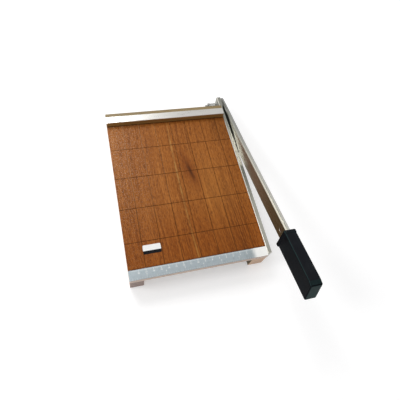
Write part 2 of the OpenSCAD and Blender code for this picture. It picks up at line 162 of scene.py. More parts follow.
class Field:
    """A number that varies over a surface; arithmetic on it adds nodes to its graph."""

    def __init__(self, graph: "ShaderGraph", socket: Socket) -> None:
        """Holds the socket that gives the number."""
        self.graph = graph
        self.socket = socket

    def sum_up(self, operation: str, *values: Any) -> "Field":
        """The result of one Math node on fields or numbers."""
        outputs = self.graph.node("ShaderNodeMath", dict(enumerate(values)), operation=operation)
        return Field(self.graph, outputs[0])

    def __add__(self, other: Any) -> "Field":
        """The sum."""
        return self.sum_up("ADD", self, other)

    def __sub__(self, other: Any) -> "Field":
        """The difference."""
        return self.sum_up("SUBTRACT", self, other)

    def __rsub__(self, other: Any) -> "Field":
        """The difference from a plain number."""
        return self.sum_up("SUBTRACT", other, self)

    def __mul__(self, other: Any) -> "Field":
        """The product."""
        return self.sum_up("MULTIPLY", self, other)

    def __truediv__(self, other: Any) -> "Field":
        """The quotient."""
        return self.sum_up("DIVIDE", self, other)

    def most(self, other: Any) -> "Field":
        """The larger of two numbers."""
        return self.sum_up("MAXIMUM", self, other)

    def bell(self, width: float) -> "Field":
        """A bump that is 1 where the number is 0, and fades over a width."""
        share = self / width
        return self.sum_up("EXPONENT", share * share * -1.0)

    def span(self, low: float, high: float, to_low: float = 0.0, to_high: float = 1.0) -> "Field":
        """The number spread from one range to another, easing in and out at the ends.

        Args:
            low: Where the first range starts.
            high: Where it ends.
            to_low: The result at its start and before.
            to_high: The result at its end and after.

        Returns:
            The spread number.
        """
        inputs = dict(enumerate((self, low, high, to_low, to_high)))
        outputs = self.graph.node("ShaderNodeMapRange", inputs, interpolation_type="SMOOTHSTEP")
        return Field(self.graph, outputs[0])


class ShaderGraph:
    """A material's node tree, with short methods for the nodes that the finishes share."""

    def __init__(self, name: str) -> None:
        """Starts a material with a principled shader and the piece's own places.

        Args:
            name: The material's name.
        """
        self.material = bpy.data.materials.new(name)
        self.material.use_nodes = True
        self.tree = self.material.node_tree
        self.shader = self.tree.nodes["Principled BSDF"]
        self.place = self.node("ShaderNodeTexCoord")["Object"]
        self.local = self.vector("MULTIPLY", self.place, (PER_MM, PER_MM, PER_MM))

    def node(self, kind: str, inputs: Inputs | None = None, **settings: Any) -> Outputs:
        """Adds a node.

        Args:
            kind: The node's type.
            inputs: What its sockets take in.
            settings: Properties to set on it.

        Returns:
            Its outputs.
        """
        node = self.tree.nodes.new(kind)
        for key, value in settings.items():
            setattr(node, key, value)
        self.feed(node, inputs or {})
        return node.outputs

    def feed(self, node: bpy.types.Node, inputs: Inputs) -> None:
        """Gives a node's sockets what they take in.

        Args:
            node: The node.
            inputs: For each socket's name or number, a field or socket to link, or a constant.
        """
        for key, value in inputs.items():
            socket = node.inputs[key]
            source = value.socket if isinstance(value, Field) else value
            if isinstance(source, bpy.types.NodeSocket):
                self.tree.links.new(source, socket)
            else:
                socket.default_value = (*source, 1.0) if socket.type == "RGBA" else source

    def vector(self, operation: str, first: Any, second: Any) -> Socket:
        """The place that one Vector Math node gives."""
        return self.node("ShaderNodeVectorMath", {0: first, 1: second}, operation=operation)["Vector"]

    def distance(self, point: Triple) -> Field:
        """How many millimetres each place lies from a point that is given in metres."""
        metres = self.node("ShaderNodeVectorMath", {0: self.place, 1: point}, operation="DISTANCE")["Value"]
        return Field(self, metres) * PER_MM

    def axes(self, place: Socket) -> list[Field]:
        """The three coordinates of a place."""
        return [Field(self, socket) for socket in self.node("ShaderNodeSeparateXYZ", {0: place})]

    def joined(self, *axes: Field) -> Socket:
        """A place made of its three coordinates."""
        return self.node("ShaderNodeCombineXYZ", dict(enumerate(axes)))[0]

    def layered(self, colour: Any, layers: Sequence[tuple[Any, Any]], way: Tint = Tint.COVER) -> Any:
        """A colour with others laid over it.

        Args:
            colour: The colour underneath.
            layers: The share and the colour of each layer, from the lowest up.
            way: How they are laid.

        Returns:
            The colour seen from above.
        """
        for share, tint in layers:
            colour = self.node("ShaderNodeMix", {0: share, 6: colour, 7: tint}, data_type="RGBA",
                               blend_type=way.value, clamp_factor=True)[2]
        return colour

    def bump(self, height: Field, depth: float) -> Socket:
        """The normal of a surface relief, from its height between 0 and 1 and its depth."""
        return self.node("ShaderNodeBump", {"Strength": 1.0, "Distance": depth, "Height": height})[0]


@dataclass(frozen=True)
class Pattern:
    """Smooth noise from 0 to 1: its cycles per millimetre, its finer layers and their strength."""

    scale: Triple
    detail: float = 2.0
    roughness: float = 0.5

    def on(self, g: ShaderGraph, place: Socket) -> Field:
        """The noise over a surface.

        Args:
            g: The material's graph.
            place: The surface's places, in millimetres.

        Returns:
            The noise.
        """
        scaled = g.vector("MULTIPLY", place, self.scale)
        inputs = {"Vector": scaled, "Scale": 1.0, "Detail": self.detail, "Roughness": self.roughness}
        return Field(g, g.node("ShaderNodeTexNoise", inputs)[0])


@dataclass(frozen=True)
class Ramp:
    """A number's spread from one range to another."""

    low: float
    high: float
    to_low: float = 0.0
    to_high: float = 1.0

    def of(self, number: Field) -> Field:
        """The spread number."""
        return number.span(self.low, self.high, self.to_low, self.to_high)


@dataclass(frozen=True)
class Spot:
    """A soft oval: its middle, its size, its strength there, and its lean to the left per length."""

    x: float
    y: float
    width: float
    length: float
    share: float
    lean: float = 0.0

    def over(self, x: Field, y: Field) -> Field:
        """How strong the oval is at a place."""
        off = y - self.y
        return (x - self.x + off * self.lean).bell(self.width) * off.bell(self.length) * self.share


@dataclass(frozen=True)
class Finish:
    """A surface finish; each kind says what its shader takes in."""

    name: str

    @cache
    def material(self) -> bpy.types.Material:
        """Builds the finish's material, the first time that it is asked for.

        Returns:
            The material.
        """
        g = ShaderGraph(self.name)
        g.feed(g.shader, self.inputs(g))
        return g.material

    def inputs(self, g: ShaderGraph) -> Inputs:
        """What the principled shader takes in, by its sockets' names."""
        raise NotImplementedError


@dataclass(frozen=True)
class VeneerFinish(Finish):
    """Orange-brown varnished veneer with flecked grain along Y, two pale streaks, a dark knot, painted glints
    and painted shade.

    Its places are millimetres from the board's near left corner.
    """

    corner: Triple
    near_strip: float
    far_strip: float
    dark: Colour = (0.150, 0.042, 0.007)
    middle: Colour = (0.290, 0.092, 0.015)
    light: Colour = (0.440, 0.165, 0.036)
    pore: Colour = (0.085, 0.023, 0.005)
    pale: Colour = (0.480, 0.250, 0.068)
    # Grime and painted contact shade along the front rule and the fence's foot
    grime_and_shade: Colour = (0.035, 0.014, 0.006)
    glowing: Colour = (0.480, 0.185, 0.036)
    burnt: Colour = (0.195, 0.050, 0.008)
    core: Colour = (0.040, 0.012, 0.003)
    # Painted glints: pale specks, strongest on the top's far left
    wear_and_glint: Colour = (0.470, 0.300, 0.190)
    # Painted shade towards the front and towards the far right corner
    front_painted_shade: Colour = (0.82, 0.71, 0.56)
    corner_painted_shade: Colour = (0.76, 0.75, 0.68)
    # The grain bows to one side and sways along its length
    bow: float = 3.4
    bow_middle: float = 147.0
    bow_reach: float = 117.0
    sway: float = 4.0
    drift: Pattern = Pattern((0.016, 0.007, 0.016), 1.0)
    # Noise of the grain, from the broadest to the finest
    broad: Pattern = Pattern((0.045, 0.0035, 0.045))
    figure: Pattern = Pattern((0.30, 0.010, 0.30), 3.0, 0.6)
    lines: Pattern = Pattern((0.75, 0.011, 0.75), 2.0, 0.6)
    flecks: Pattern = Pattern((0.55, 0.15, 0.55), 2.0, 0.75)
    pores: Pattern = Pattern((0.80, 0.11, 0.80), 1.0, 0.6)
    broad_share: float = 0.55
    figure_share: float = 0.45
    middle_tone: Ramp = Ramp(0.30, 0.50)
    light_tone: Ramp = Ramp(0.52, 0.74, 0.0, 0.7)
    dark_fleck: Ramp = Ramp(0.50, 0.66, 0.0, 0.48)
    light_fleck: Ramp = Ramp(0.34, 0.50, 0.48, 0.0)
    dark_line: Ramp = Ramp(0.54, 0.68, 0.0, 0.50)
    light_line: Ramp = Ramp(0.32, 0.46, 0.50, 0.0)
    open_pore: Ramp = Ramp(0.58, 0.68)
    pore_share: float = 0.45
    # Single marks of the wood
    glow: Spot = Spot(140.0, 115.0, 24.0, 75.0, 0.38)
    streak_x: float = 92.4
    streak_width: float = 1.2
    breaks: Pattern = Pattern((0.02, 0.05, 0.02), 2.0, 0.7)
    broken: Ramp = Ramp(0.38, 0.58, 0.66, 0.25)
    whole_in_front: Ramp = Ramp(20.0, 90.0, 0.80, 0.0)
    second_streak: Spot = Spot(129.0, 95.0, 1.6, 45.0, 0.6)
    knot: Spot = Spot(113.9, 152.0, 10.5, 36.0, 0.85, 0.17)
    knot_heart: Spot = Spot(113.9, 152.0, 2.3, 17.0, 0.80, 0.17)
    feather: float = 3.0
    # Painted glints, painted shade, grime with painted contact shade, and gloss
    specks: Pattern = Pattern((1.10, 0.45, 1.10), 1.0, 0.6)
    glint_speck: Ramp = Ramp(0.54, 0.66)
    glints_across: Ramp = Ramp(0.0, 85.0, 0.78, 0.0)
    glints_along: Ramp = Ramp(50.0, 190.0, 0.35, 1.0)
    front: Ramp = Ramp(30.0, 120.0, 1.0, 0.0)
    corner_across: Ramp = Ramp(140.0, 185.0)
    corner_along: Ramp = Ramp(180.0, 225.0)
    grime_and_shade_width: float = 1.5
    grime_and_shade_share: float = 0.8
    polish: Ramp = Ramp(*NEARLY_ALL, 0.32, 0.52)
    gloss: float = 0.10
    fleck_height: float = 0.6
    pore_depth: float = 0.4
    relief: float = 0.26 * MM

    def inputs(self, g: ShaderGraph) -> Inputs:
        """The veneer's colour, gloss and relief.

        Args:
            g: The material's graph.

        Returns:
            The shader's inputs.
        """
        local = g.vector("MULTIPLY", g.vector("SUBTRACT", g.place, self.corner), (PER_MM, PER_MM, PER_MM))
        x, y, z = g.axes(local)
        off = (y - self.bow_middle) / self.bow_reach
        bent_x = x - off * off * self.bow + (self.drift.on(g, local) - MIDWAY) * self.sway
        bent = g.joined(bent_x, y, z)
        flecks, pores, lines = (noise.on(g, bent) for noise in (self.flecks, self.pores, self.lines))
        tone = self.broad.on(g, bent) * self.broad_share + self.figure.on(g, bent) * self.figure_share
        pore = self.open_pore.of(pores)
        streak = (bent_x - self.streak_x).bell(self.streak_width)
        whole = self.broken.of(self.breaks.on(g, local)).most(self.whole_in_front.of(y))
        feathered = x + (flecks - MIDWAY) * self.feather
        # Painted glints: pale specks that fade from the far left
        glints = self.glint_speck.of(self.specks.on(g, local))
        colour = g.layered(self.dark, [
            (self.middle_tone.of(tone), self.middle),
            (self.light_tone.of(tone), self.light),
            (self.dark_fleck.of(flecks), self.dark),
            (self.light_fleck.of(flecks), self.light),
            (self.dark_line.of(lines), self.dark),
            (self.light_line.of(lines), self.light),
            (self.glow.over(bent_x, y), self.glowing),
            (streak * whole, self.pale),
            (self.second_streak.over(bent_x, y), self.glowing),
            (self.knot.over(feathered, y), self.burnt),
            (self.knot_heart.over(feathered, y), self.core),
            (pore * self.pore_share, self.pore),
            (glints * self.glints_across.of(x) * self.glints_along.of(y), self.wear_and_glint),
        ])
        # Painted shade: darker towards the front and the far right corner
        colour = g.layered(colour, [
            (self.front.of(y), self.front_painted_shade),
            (self.corner_across.of(x) * self.corner_along.of(y), self.corner_painted_shade),
        ], Tint.SHADE)
        # Grime and painted contact shade along the two strips
        colour = g.layered(colour, [((y - strip).bell(self.grime_and_shade_width) * self.grime_and_shade_share, self.grime_and_shade)
                                    for strip in (self.near_strip, self.far_strip)])
        return {
            "Base Color": colour,
            "Roughness": self.polish.of(flecks),
            "Specular IOR Level": self.gloss,
            "Normal": g.bump(flecks * self.fleck_height - pore * self.pore_depth, self.relief),
        }


@dataclass(frozen=True)
class GrooveStain(Finish):
    """The stain in a groove, dark, and paled by a painted highlight towards the board's far left corner."""

    rubbed_and_highlight: Colour
    dark: Colour
    # Where the painted highlight pales the stain: towards the far left corner
    across: Ramp = Ramp(-60.0, 0.0, 1.0, 0.0)
    along: Ramp = Ramp(-40.0, 60.0)
    patches: Pattern = Pattern((0.25, 0.25, 0.25), 2.0, 0.7)
    fray: Ramp = Ramp(*MOST, -25.0, 25.0)
    polish: Ramp = Ramp(*MOST, 0.55, 0.70)
    gloss: float = 0.03

    def inputs(self, g: ShaderGraph) -> Inputs:
        """The stain's colour and gloss.

        Args:
            g: The material's graph.

        Returns:
            The shader's inputs.
        """
        x, y, _ = g.axes(g.local)
        patchy = self.patches.on(g, g.local)
        pale = self.across.of(x + self.fray.of(patchy)) * self.along.of(y)
        return {
            "Base Color": g.layered(self.dark, [(pale, self.rubbed_and_highlight)]),
            "Roughness": self.polish.of(patchy),
            "Specular IOR Level": self.gloss,
        }


@dataclass(frozen=True)
class PlainWood(Finish):
    """Solid wood with fibres along one axis, which show as specks on its end faces."""

    light: Colour
    dark: Colour
    grain: Grain
    roughness: float = 0.55
    smoother: float = 0.10
    rougher: float = 0.12
    # Cycles per millimetre across the grain and along it
    rings: tuple[float, float] = (0.28, 0.005)
    fibres: tuple[float, float] = (2.2, 0.02)
    stains: tuple[float, float] = (0.03, 0.01)
    ring_share: float = 0.65
    fibre_share: float = 0.35
    dark_tone: Ramp = Ramp(0.36, 0.66)
    stained: Ramp = Ramp(0.40, 0.75, 0.0, 0.45)
    relief: float = 0.06 * MM

    def inputs(self, g: ShaderGraph) -> Inputs:
        """The wood's colour, gloss and relief.

        Args:
            g: The material's graph.

        Returns:
            The shader's inputs.
        """
        rings = Pattern(self._scale(self.rings), detail=3.0, roughness=0.6).on(g, g.local)
        fibres = Pattern(self._scale(self.fibres)).on(g, g.local)
        stains = Pattern(self._scale(self.stains)).on(g, g.local)
        tone = rings * self.ring_share + fibres * self.fibre_share
        return {
            "Base Color": g.layered(self.light, [(self.dark_tone.of(tone), self.dark),
                                                 (self.stained.of(stains), self.dark)]),
            "Roughness": fibres.span(*NEARLY_ALL, self.roughness - self.smoother,
                                     self.roughness + self.rougher),
            "Normal": g.bump(tone, self.relief),
        }

    def _scale(self, cycles: tuple[float, float]) -> Triple:
        """Cycles per millimetre on each axis, from those across the grain and along it."""
        across, along = cycles
        return tuple(along if axis == self.grain.value else across for axis in range(3))


@dataclass(frozen=True)
class BrushedMetal(Finish):
    """Bare metal with fine brush lines, soft stains and uneven gloss."""

    colour: Colour
    stain: Colour
    roughness: float = 0.32
    spread: float = 0.10
    # Cycles per millimetre of the brush lines and of the stains, which are turned about X with the piece
    brush: Triple = (4.0, 0.03, 4.0)
    stains: Triple = (0.05, 0.02, 0.05)
    turn: float = 0.0
    metallic: float = 1.0
    specks: Pattern = Pattern((0.9, 0.9, 0.9), 2.0, 0.7)
    stained: Ramp = Ramp(0.45, 0.75, 0.0, 0.75)
    brushed: Ramp = Ramp(0.50, 0.80, 0.0, 0.30)
    specked: Ramp = Ramp(0.66, 0.76, 0.0, 0.40)
    line_gloss: float = 0.6
    cloud_gloss: float = 0.4
    relief: float = 0.006 * MM

    def inputs(self, g: ShaderGraph) -> Inputs:
        """The metal's colour, bareness, gloss and relief.

        Args:
            g: The material's graph.

        Returns:
            The shader's inputs.
        """
        turned = g.node("ShaderNodeMapping", {"Vector": g.local, "Rotation": (self.turn, 0.0, 0.0)})[0]
        lines = Pattern(self.brush, roughness=0.6).on(g, turned)
        cloud = Pattern(self.stains, detail=3.0, roughness=0.6).on(g, turned)
        colour = g.layered(self.colour, [(self.stained.of(cloud), self.stain),
                                         (self.brushed.of(lines), self.stain),
                                         (self.specked.of(self.specks.on(g, turned)), self.stain)])
        polish = lines * self.line_gloss + cloud * self.cloud_gloss
        return {
            "Base Color": self._with_painted_light(g, colour, cloud),
            "Metallic": self._bareness(g),
            "Roughness": polish.span(*MOST, self.roughness - self.spread, self.roughness + self.spread),
            "Normal": g.bump(lines, self.relief),
        }

    def _with_painted_light(self, g: ShaderGraph, colour: Any, cloud: Field) -> Any:
        """The metal's colour with any painted light or shade on it; plain metal has none."""
        return colour

    def _bareness(self, g: ShaderGraph) -> Any:
        """How metallic the surface is; plain metal is the same all over."""
        return self.metallic


@dataclass(frozen=True)
class HighlightedRule(BrushedMetal):
    """Brushed metal with a painted white highlight at its right end."""

    highlit: Colour = (0.98, 0.98, 0.95)
    highlit_metallic: float = 0.1
    highlight_start: float = 63.0
    highlight_full: float = 73.0

    def _with_painted_light(self, g: ShaderGraph, colour: Any, cloud: Field) -> Any:
        """The metal's colour with its painted white highlight at the end."""
        return g.layered(colour, [(self._highlight(g, 0.0, 1.0), self.highlit)])

    def _bareness(self, g: ShaderGraph) -> Any:
        """How metallic the rule is, less so under its painted highlight."""
        return self._highlight(g, self.metallic, self.highlit_metallic)

    def _highlight(self, g: ShaderGraph, plain: float, highlit: float) -> Field:
        """A number that changes from the plain metal to its painted highlight."""
        return g.axes(g.local)[0].span(self.highlight_start, self.highlight_full, plain, highlit)


@dataclass(frozen=True)
class GapShadedMetal(BrushedMetal):
    """Brushed metal with painted shade round the pivot, where the parts close on each other, up to a given
    height.

    Further from the pivot the metal takes on another colour.
    """

    pivot: Triple = (0.0, 0.0, 0.0)
    gap_shade: Colour = (0.10, 0.10, 0.08)
    share: float = 0.6
    inner_reach: float = 45.0
    outer_reach: float = 95.0
    fray: Ramp = Ramp(*MOST, -8.0, 8.0)
    # The height that the painted shade reaches, its rise per millimetre from the pivot, and its soft border
    shade_top: float = 1000.0
    shade_top_rise: float = 0.0
    shade_top_border: float = 2.5
    # Where the painted shade stops behind the pivot
    unshaded_from: float = 1000.0
    unshaded_border: float = 8.0
    far_colour: Colour = (0.1, 0.1, 0.1)
    far_share: float = 0.0
    far_start: float = 140.0
    far_end: float = 270.0

    def _with_painted_light(self, g: ShaderGraph, colour: Any, cloud: Field) -> Any:
        """The metal's colour under the painted shade.

        Args:
            g: The material's graph.
            colour: The clean colour.
            cloud: The soft noise that frays the painted shade's border.

        Returns:
            The colour.
        """
        _, y, z = g.axes(g.local)
        straight = g.distance(self.pivot)
        reach = straight + self.fray.of(cloud)
        far = reach.span(self.far_start, self.far_end, 0.0, self.far_share)
        # Painted shade: dark near the pivot, below a given height, and not behind a given place
        near = reach.span(self.inner_reach, self.outer_reach, self.share, 0.0)
        before = y.span(self.unshaded_from, self.unshaded_from + self.unshaded_border, 1.0, 0.0)
        border = self.shade_top_border / 2
        below = (z - straight * self.shade_top_rise).span(self.shade_top - border, self.shade_top + border, 1.0, 0.0)
        return g.layered(colour, [(far, self.far_colour), (near * before * below, self.gap_shade)])


@dataclass(frozen=True)
class KnifeSteel(GapShadedMetal):
    """Steel with painted shade round the pivot and painted reflections: bright along the first part of its
    cut, and dark after that.

    Beside the arm's root it has a black line of painted shadow along its outer edge. Its ramps run along Y,
    apart from the line's border and depth.
    """

    # Where the outer edge lies, in X and Z
    edge: tuple[float, float] = (0.0, 0.0)
    # Painted shadow of the arm along the outer edge, beside the arm's root
    edge_shadow: Colour = (0.012, 0.014, 0.010)
    edge_starts: Ramp = Ramp(80.0, 104.0)
    edge_ends: Ramp = Ramp(156.0, 164.0, 1.0, 0.0)
    edge_width: Ramp = Ramp(118.0, 146.0, 1.0, 1.8)
    edge_border: Ramp = Ramp(-0.4, 0.4)
    edge_depth: Ramp = Ramp(-2.0, -0.5)
    # Painted reflections: bright along the first part of the cut, dark after that
    rubbed_and_highlight: Colour = (0.52, 0.49, 0.43)
    reflection_starts: Ramp = Ramp(37.0, 45.0)
    reflection_ends: Ramp = Ramp(94.0, 114.0, 0.9, 0.0)
    dark_reflection: Colour = (0.15, 0.15, 0.13)
    dark_reflection_ramp: Ramp = Ramp(-65.0, 41.0, 0.0, 0.85)
    unsteady: Ramp = Ramp(*MOST, -3.0, 3.0)

    def _with_painted_light(self, g: ShaderGraph, colour: Any, cloud: Field) -> Any:
        """The steel's colour with its painted bright and dark reflections, under the painted shade.

        Args:
            g: The material's graph.
            colour: The clean colour.
            cloud: The soft noise that frays the borders.

        Returns:
            The colour.
        """
        x, y, z = g.axes(g.local)
        y = y + self.unsteady.of(cloud)
        bright = self.reflection_starts.of(y)
        # Painted bright and dark reflections along the top
        colour = g.layered(colour, [(bright * self.reflection_ends.of(y), self.rubbed_and_highlight),
                                    ((1.0 - bright) * self.dark_reflection_ramp.of(y), self.dark_reflection)])
        # Painted shadow line along the outer edge beside the arm's root
        edge_x, edge_z = self.edge
        beside = self.edge_border.of(x + self.edge_width.of(y) - edge_x) * self.edge_depth.of(z - edge_z)
        along = self.edge_starts.of(y) * self.edge_ends.of(y)
        return g.layered(super()._with_painted_light(g, colour, cloud), [(beside * along, self.edge_shadow)])


@dataclass(frozen=True)
class MouldedPlastic(Finish):
    """Black moulded plastic with a fine satin grain and slightly worn gloss."""

    colour: Colour
    rubbed_and_highlight: Colour
    roughness: float = 0.36
    gloss: float = 0.035
    smoother: float = 0.06
    rougher: float = 0.10
    grain: Pattern = Pattern((3.2, 3.2, 3.2))
    rub: Pattern = Pattern((0.09, 0.05, 0.09), 3.0, 0.6)
    rubs: Ramp = Ramp(0.45, 0.72)
    relief: float = 0.030 * MM

    def inputs(self, g: ShaderGraph) -> Inputs:
        """The plastic's colour, gloss and relief.

        Args:
            g: The material's graph.

        Returns:
            The shader's inputs.
        """
        rub = self.rub.on(g, g.local)
        return {
            "Base Color": g.layered(self.colour, [(self.rubs.of(rub), self.rubbed_and_highlight)]),
            "Roughness": rub.span(*MOST, self.roughness - self.smoother, self.roughness + self.rougher),
            "Specular IOR Level": self.gloss,
            "Normal": g.bump(self.grain.on(g, g.local), self.relief),
        }


@dataclass(frozen=True)
class Print(Finish):
    """Flat printed colour with a faint mottle, as on a label or a painted mark."""

    colour: Colour
    mottle: Colour
    roughness: float = 0.4
    gloss: float = 0.5
    smoother: float = 0.05
    rougher: float = 0.10
    cloud: Pattern = Pattern((0.7, 0.7, 0.7), 3.0, 0.6)
    mottled: Ramp = Ramp(0.35, 0.75)

    def inputs(self, g: ShaderGraph) -> Inputs:
        """The print's colour and gloss.

        Args:
            g: The material's graph.

        Returns:
            The shader's inputs.
        """
        cloud = self.cloud.on(g, g.local)
        return {
            "Base Color": g.layered(self.colour, [(self.mottled.of(cloud), self.mottle)]),
            "Roughness": cloud.span(*MOST, self.roughness - self.smoother, self.roughness + self.rougher),
            "Specular IOR Level": self.gloss,
        }


# Bench work


class Bench:
    """Modelling moves on one mesh at a time, made with Blender's own operators."""

    @staticmethod
    def activate(piece: Piece) -> None:
        """Makes one piece the only thing selected.

        Args:
            piece: The piece.
        """
        bpy.ops.object.select_all(action="DESELECT")
        piece.select_set(True)
        bpy.context.view_layer.objects.active = piece

    @staticmethod
    def adopt(name: str) -> Piece:
        """Names the object just made and puts its place into its mesh.

        Args:
            name: The piece's name.

        Returns:
            The piece.
        """
        piece = bpy.context.object
        piece.name = name
        piece.data.name = name
        bpy.ops.object.transform_apply(location=True, rotation=True, scale=True)
        return piece

    @staticmethod
    def carry(name: str, data: bpy.types.ID) -> Piece:
        """Puts a new object into the scene.

        Args:
            name: The object's name.
            data: Its mesh, curve, lamp or camera.

        Returns:
            The object.
        """
        data.name = name
        piece = bpy.data.objects.new(name, data)
        bpy.context.scene.collection.objects.link(piece)
        return piece

    @classmethod
    def block(cls, name: str, low: Vector, high: Vector) -> Piece:
        """A box between two corners.

        Args:
            name: The piece's name.
            low: Its lowest corner.
            high: Its highest corner.

        Returns:
            The piece.
        """
        bpy.ops.object.select_all(action="DESELECT")
        bpy.ops.mesh.primitive_cube_add(size=1.0, location=(low + high) / 2)
        bpy.context.object.scale = high - low
        return cls.adopt(name)

    @classmethod
    def loop(cls, name: str, corners: Sequence[Triple], fill: Fill) -> Piece:
        """A flat outline: a circle with one point for each corner, moved to the corners.

        Args:
            name: The piece's name.
            corners: The corners in order.
            fill: What lies inside it.

        Returns:
            The piece.
        """
        bpy.ops.object.select_all(action="DESELECT")
        bpy.ops.mesh.primitive_circle_add(vertices=len(corners), fill_type=fill.value)
        piece = cls.adopt(name)
        for vert, corner in zip(piece.data.vertices, corners):
            vert.co = corner
        return piece

    @classmethod
    def slab(cls, name: str, outline: Sequence[tuple[float, float]], x0: float, x1: float) -> Piece:
        """A side outline drawn in Y and Z, extruded across X.

        Args:
            name: The piece's name.
            outline: Its corners in order.
            x0: Where the outline is drawn.
            x1: Where the extrusion ends.

        Returns:
            The piece.
        """
        piece = cls.loop(name, [(x0, y, z) for y, z in outline], Fill.FACE)
        with cls.shaping(piece, Element.FACE, whole=True):
            bpy.ops.mesh.extrude_region_move(TRANSFORM_OT_translate={"value": (x1 - x0, 0.0, 0.0)})
        cls.weld(piece)
        return piece

    @classmethod
    def lathe(cls, name: str, profile: Sequence[tuple[float, float]], start: Vector, axis: Vector,
              steps: int = 48) -> Piece:
        """A profile spun round an axis; it ends on the axis, or closes on itself as a washer's does.

        Args:
            name: The piece's name.
            profile: Distances along the axis and from it, in order.
            start: The point on the axis where distances start.
            axis: The axis' direction.
            steps: Faces round the axis.

        Returns:
            The piece.
        """
        piece = cls.loop(name, [(r, 0.0, z) for z, r in profile], Fill.NOTHING)
        with cls.shaping(piece, Element.VERT, whole=True):
            bpy.ops.mesh.spin(steps=steps, angle=2 * math.pi, center=(0, 0, 0), axis=(0, 0, 1))
        cls.weld(piece)
        cls.move(piece, cls.aimed(start, axis))
        return piece

    @staticmethod
    def aimed(place: Vector, way: Vector) -> Matrix:
        """The move that sets Z along a way, at a place."""
        return Matrix.Translation(place) @ way.to_track_quat("Z", "Y").to_matrix().to_4x4()

    @classmethod
    def weld(cls, piece: Piece) -> None:
        """Merges a piece's doubled vertices, drops its loose edges and turns its faces outward.

        Args:
            piece: The piece.
        """
        with cls.shaping(piece, Element.VERT, whole=True):
            bpy.ops.mesh.remove_doubles(threshold=WELD)
            bpy.ops.mesh.delete_loose()
            bpy.ops.mesh.select_all(action="SELECT")
            bpy.ops.mesh.normals_make_consistent(inside=False)

    @classmethod
    def copy_of(cls, node: str, name: str) -> Piece:
        """A CAD node's shape as a new piece, with its loose triangles merged into whole faces.

        Args:
            node: The CAD node.
            name: The new piece's name.

        Returns:
            The piece.
        """
        piece = cls.carry(name, frame["nodes"][node].data.copy())
        with cls.shaping(piece, Element.FACE, whole=True):
            bpy.ops.mesh.remove_doubles(threshold=WELD)
            bpy.ops.mesh.dissolve_limited(angle_limit=FLAT)
        return piece

    @classmethod
    def twin(cls, piece: Piece, name: str, matrix: Matrix) -> Piece:
        """A copy of a piece with its own mesh, moved into place.

        Args:
            piece: The piece to copy.
            name: The copy's name.
            matrix: The move.

        Returns:
            The copy.
        """
        copy = cls.carry(name, piece.data.copy())
        cls.move(copy, matrix)
        return copy

    @classmethod
    def move(cls, piece: Piece, matrix: Matrix) -> None:
        """Moves a piece and puts the move into its mesh.

        Args:
            piece: The piece.
            matrix: The move.
        """
        piece.matrix_world = matrix
        cls.activate(piece)
        bpy.ops.object.transform_apply(location=True, rotation=True, scale=True)

    @classmethod
    @contextmanager
    def shaping(cls, piece: Piece, element: Element, whole: bool = False) -> Iterator[None]:
        """Holds a piece in edit mode.

        Args:
            piece: The piece.
            element: What is selected there.
            whole: Whether the whole piece is selected at first, rather than nothing.

        Yields:
            Nothing, with the piece in edit mode.
        """
        cls.activate(piece)
        bpy.ops.object.mode_set(mode="EDIT")
        bpy.ops.mesh.select_mode(type=element.value)
        bpy.ops.mesh.select_all(action="SELECT" if whole else "DESELECT")
        yield
        bpy.ops.object.mode_set(mode="OBJECT")

    @staticmethod
    def pick(piece: Piece, element: Element, test: Callable[[Any], bool]) -> None:
        """Selects parts of a piece in edit mode.

        Args:
            piece: The piece.
            element: Whether its vertices, edges or faces are selected.
            test: Which of them.
        """
        mesh = bmesh.from_edit_mesh(piece.data)
        parts = {Element.VERT: mesh.verts, Element.EDGE: mesh.edges, Element.FACE: mesh.faces}[element]
        mesh.normal_update()
        for part in parts:
            part.select_set(test(part))
        mesh.select_flush_mode()
        bmesh.update_edit_mesh(piece.data)

    @classmethod
    def ease(cls, piece: Piece, width: float, segments: int = 2,
             test: Callable[[Any], bool] | None = None, angle: float = 25.0) -> None:
        """Rounds a piece's sharp edges.

        Args:
            piece: The piece.
            width: How far the rounding reaches on each side.
            segments: Faces across it.
            test: Which of the sharp edges are rounded; all of them if left out.
            angle: The least turn between two faces that counts as sharp, in degrees.
        """
        limit = math.radians(angle)

        def sharp(edge: bmesh.types.BMEdge) -> bool:
            """Whether an edge is sharp and wanted."""
            return edge.is_manifold and edge.calc_face_angle() > limit and (test is None or test(edge))

        with cls.shaping(piece, Element.EDGE):
            cls.pick(piece, Element.EDGE, sharp)
            bpy.ops.mesh.bevel(offset=width, segments=segments, affect="EDGES", clamp_overlap=True)

    @classmethod
    def slice(cls, piece: Piece, point: Sequence[float], normal: Sequence[float],
              test: Callable[[bmesh.types.BMFace], bool] | None = None, away: bool = False) -> None:
        """Cuts new edges into a piece along a plane.

        Args:
            piece: The piece.
            point: A point on the plane.
            normal: The plane's normal.
            test: Which faces are cut; all of them if left out.
            away: Whether what lies on the normal's side is taken away, and the cut closed.
        """
        with cls.shaping(piece, Element.FACE):
            cls.pick(piece, Element.FACE, test or (lambda face: True))
            bpy.ops.mesh.bisect(plane_co=point, plane_no=normal, use_fill=away, clear_outer=away)

    @classmethod
    def shift(cls, piece: Piece, offset: Triple, test: Callable[[bmesh.types.BMVert], bool]) -> None:
        """Moves some of a piece's vertices.

        Args:
            piece: The piece.
            offset: The move.
            test: Which vertices are moved.
        """
        with cls.shaping(piece, Element.VERT):
            cls.pick(piece, Element.VERT, test)
            bpy.ops.transform.translate(value=offset)

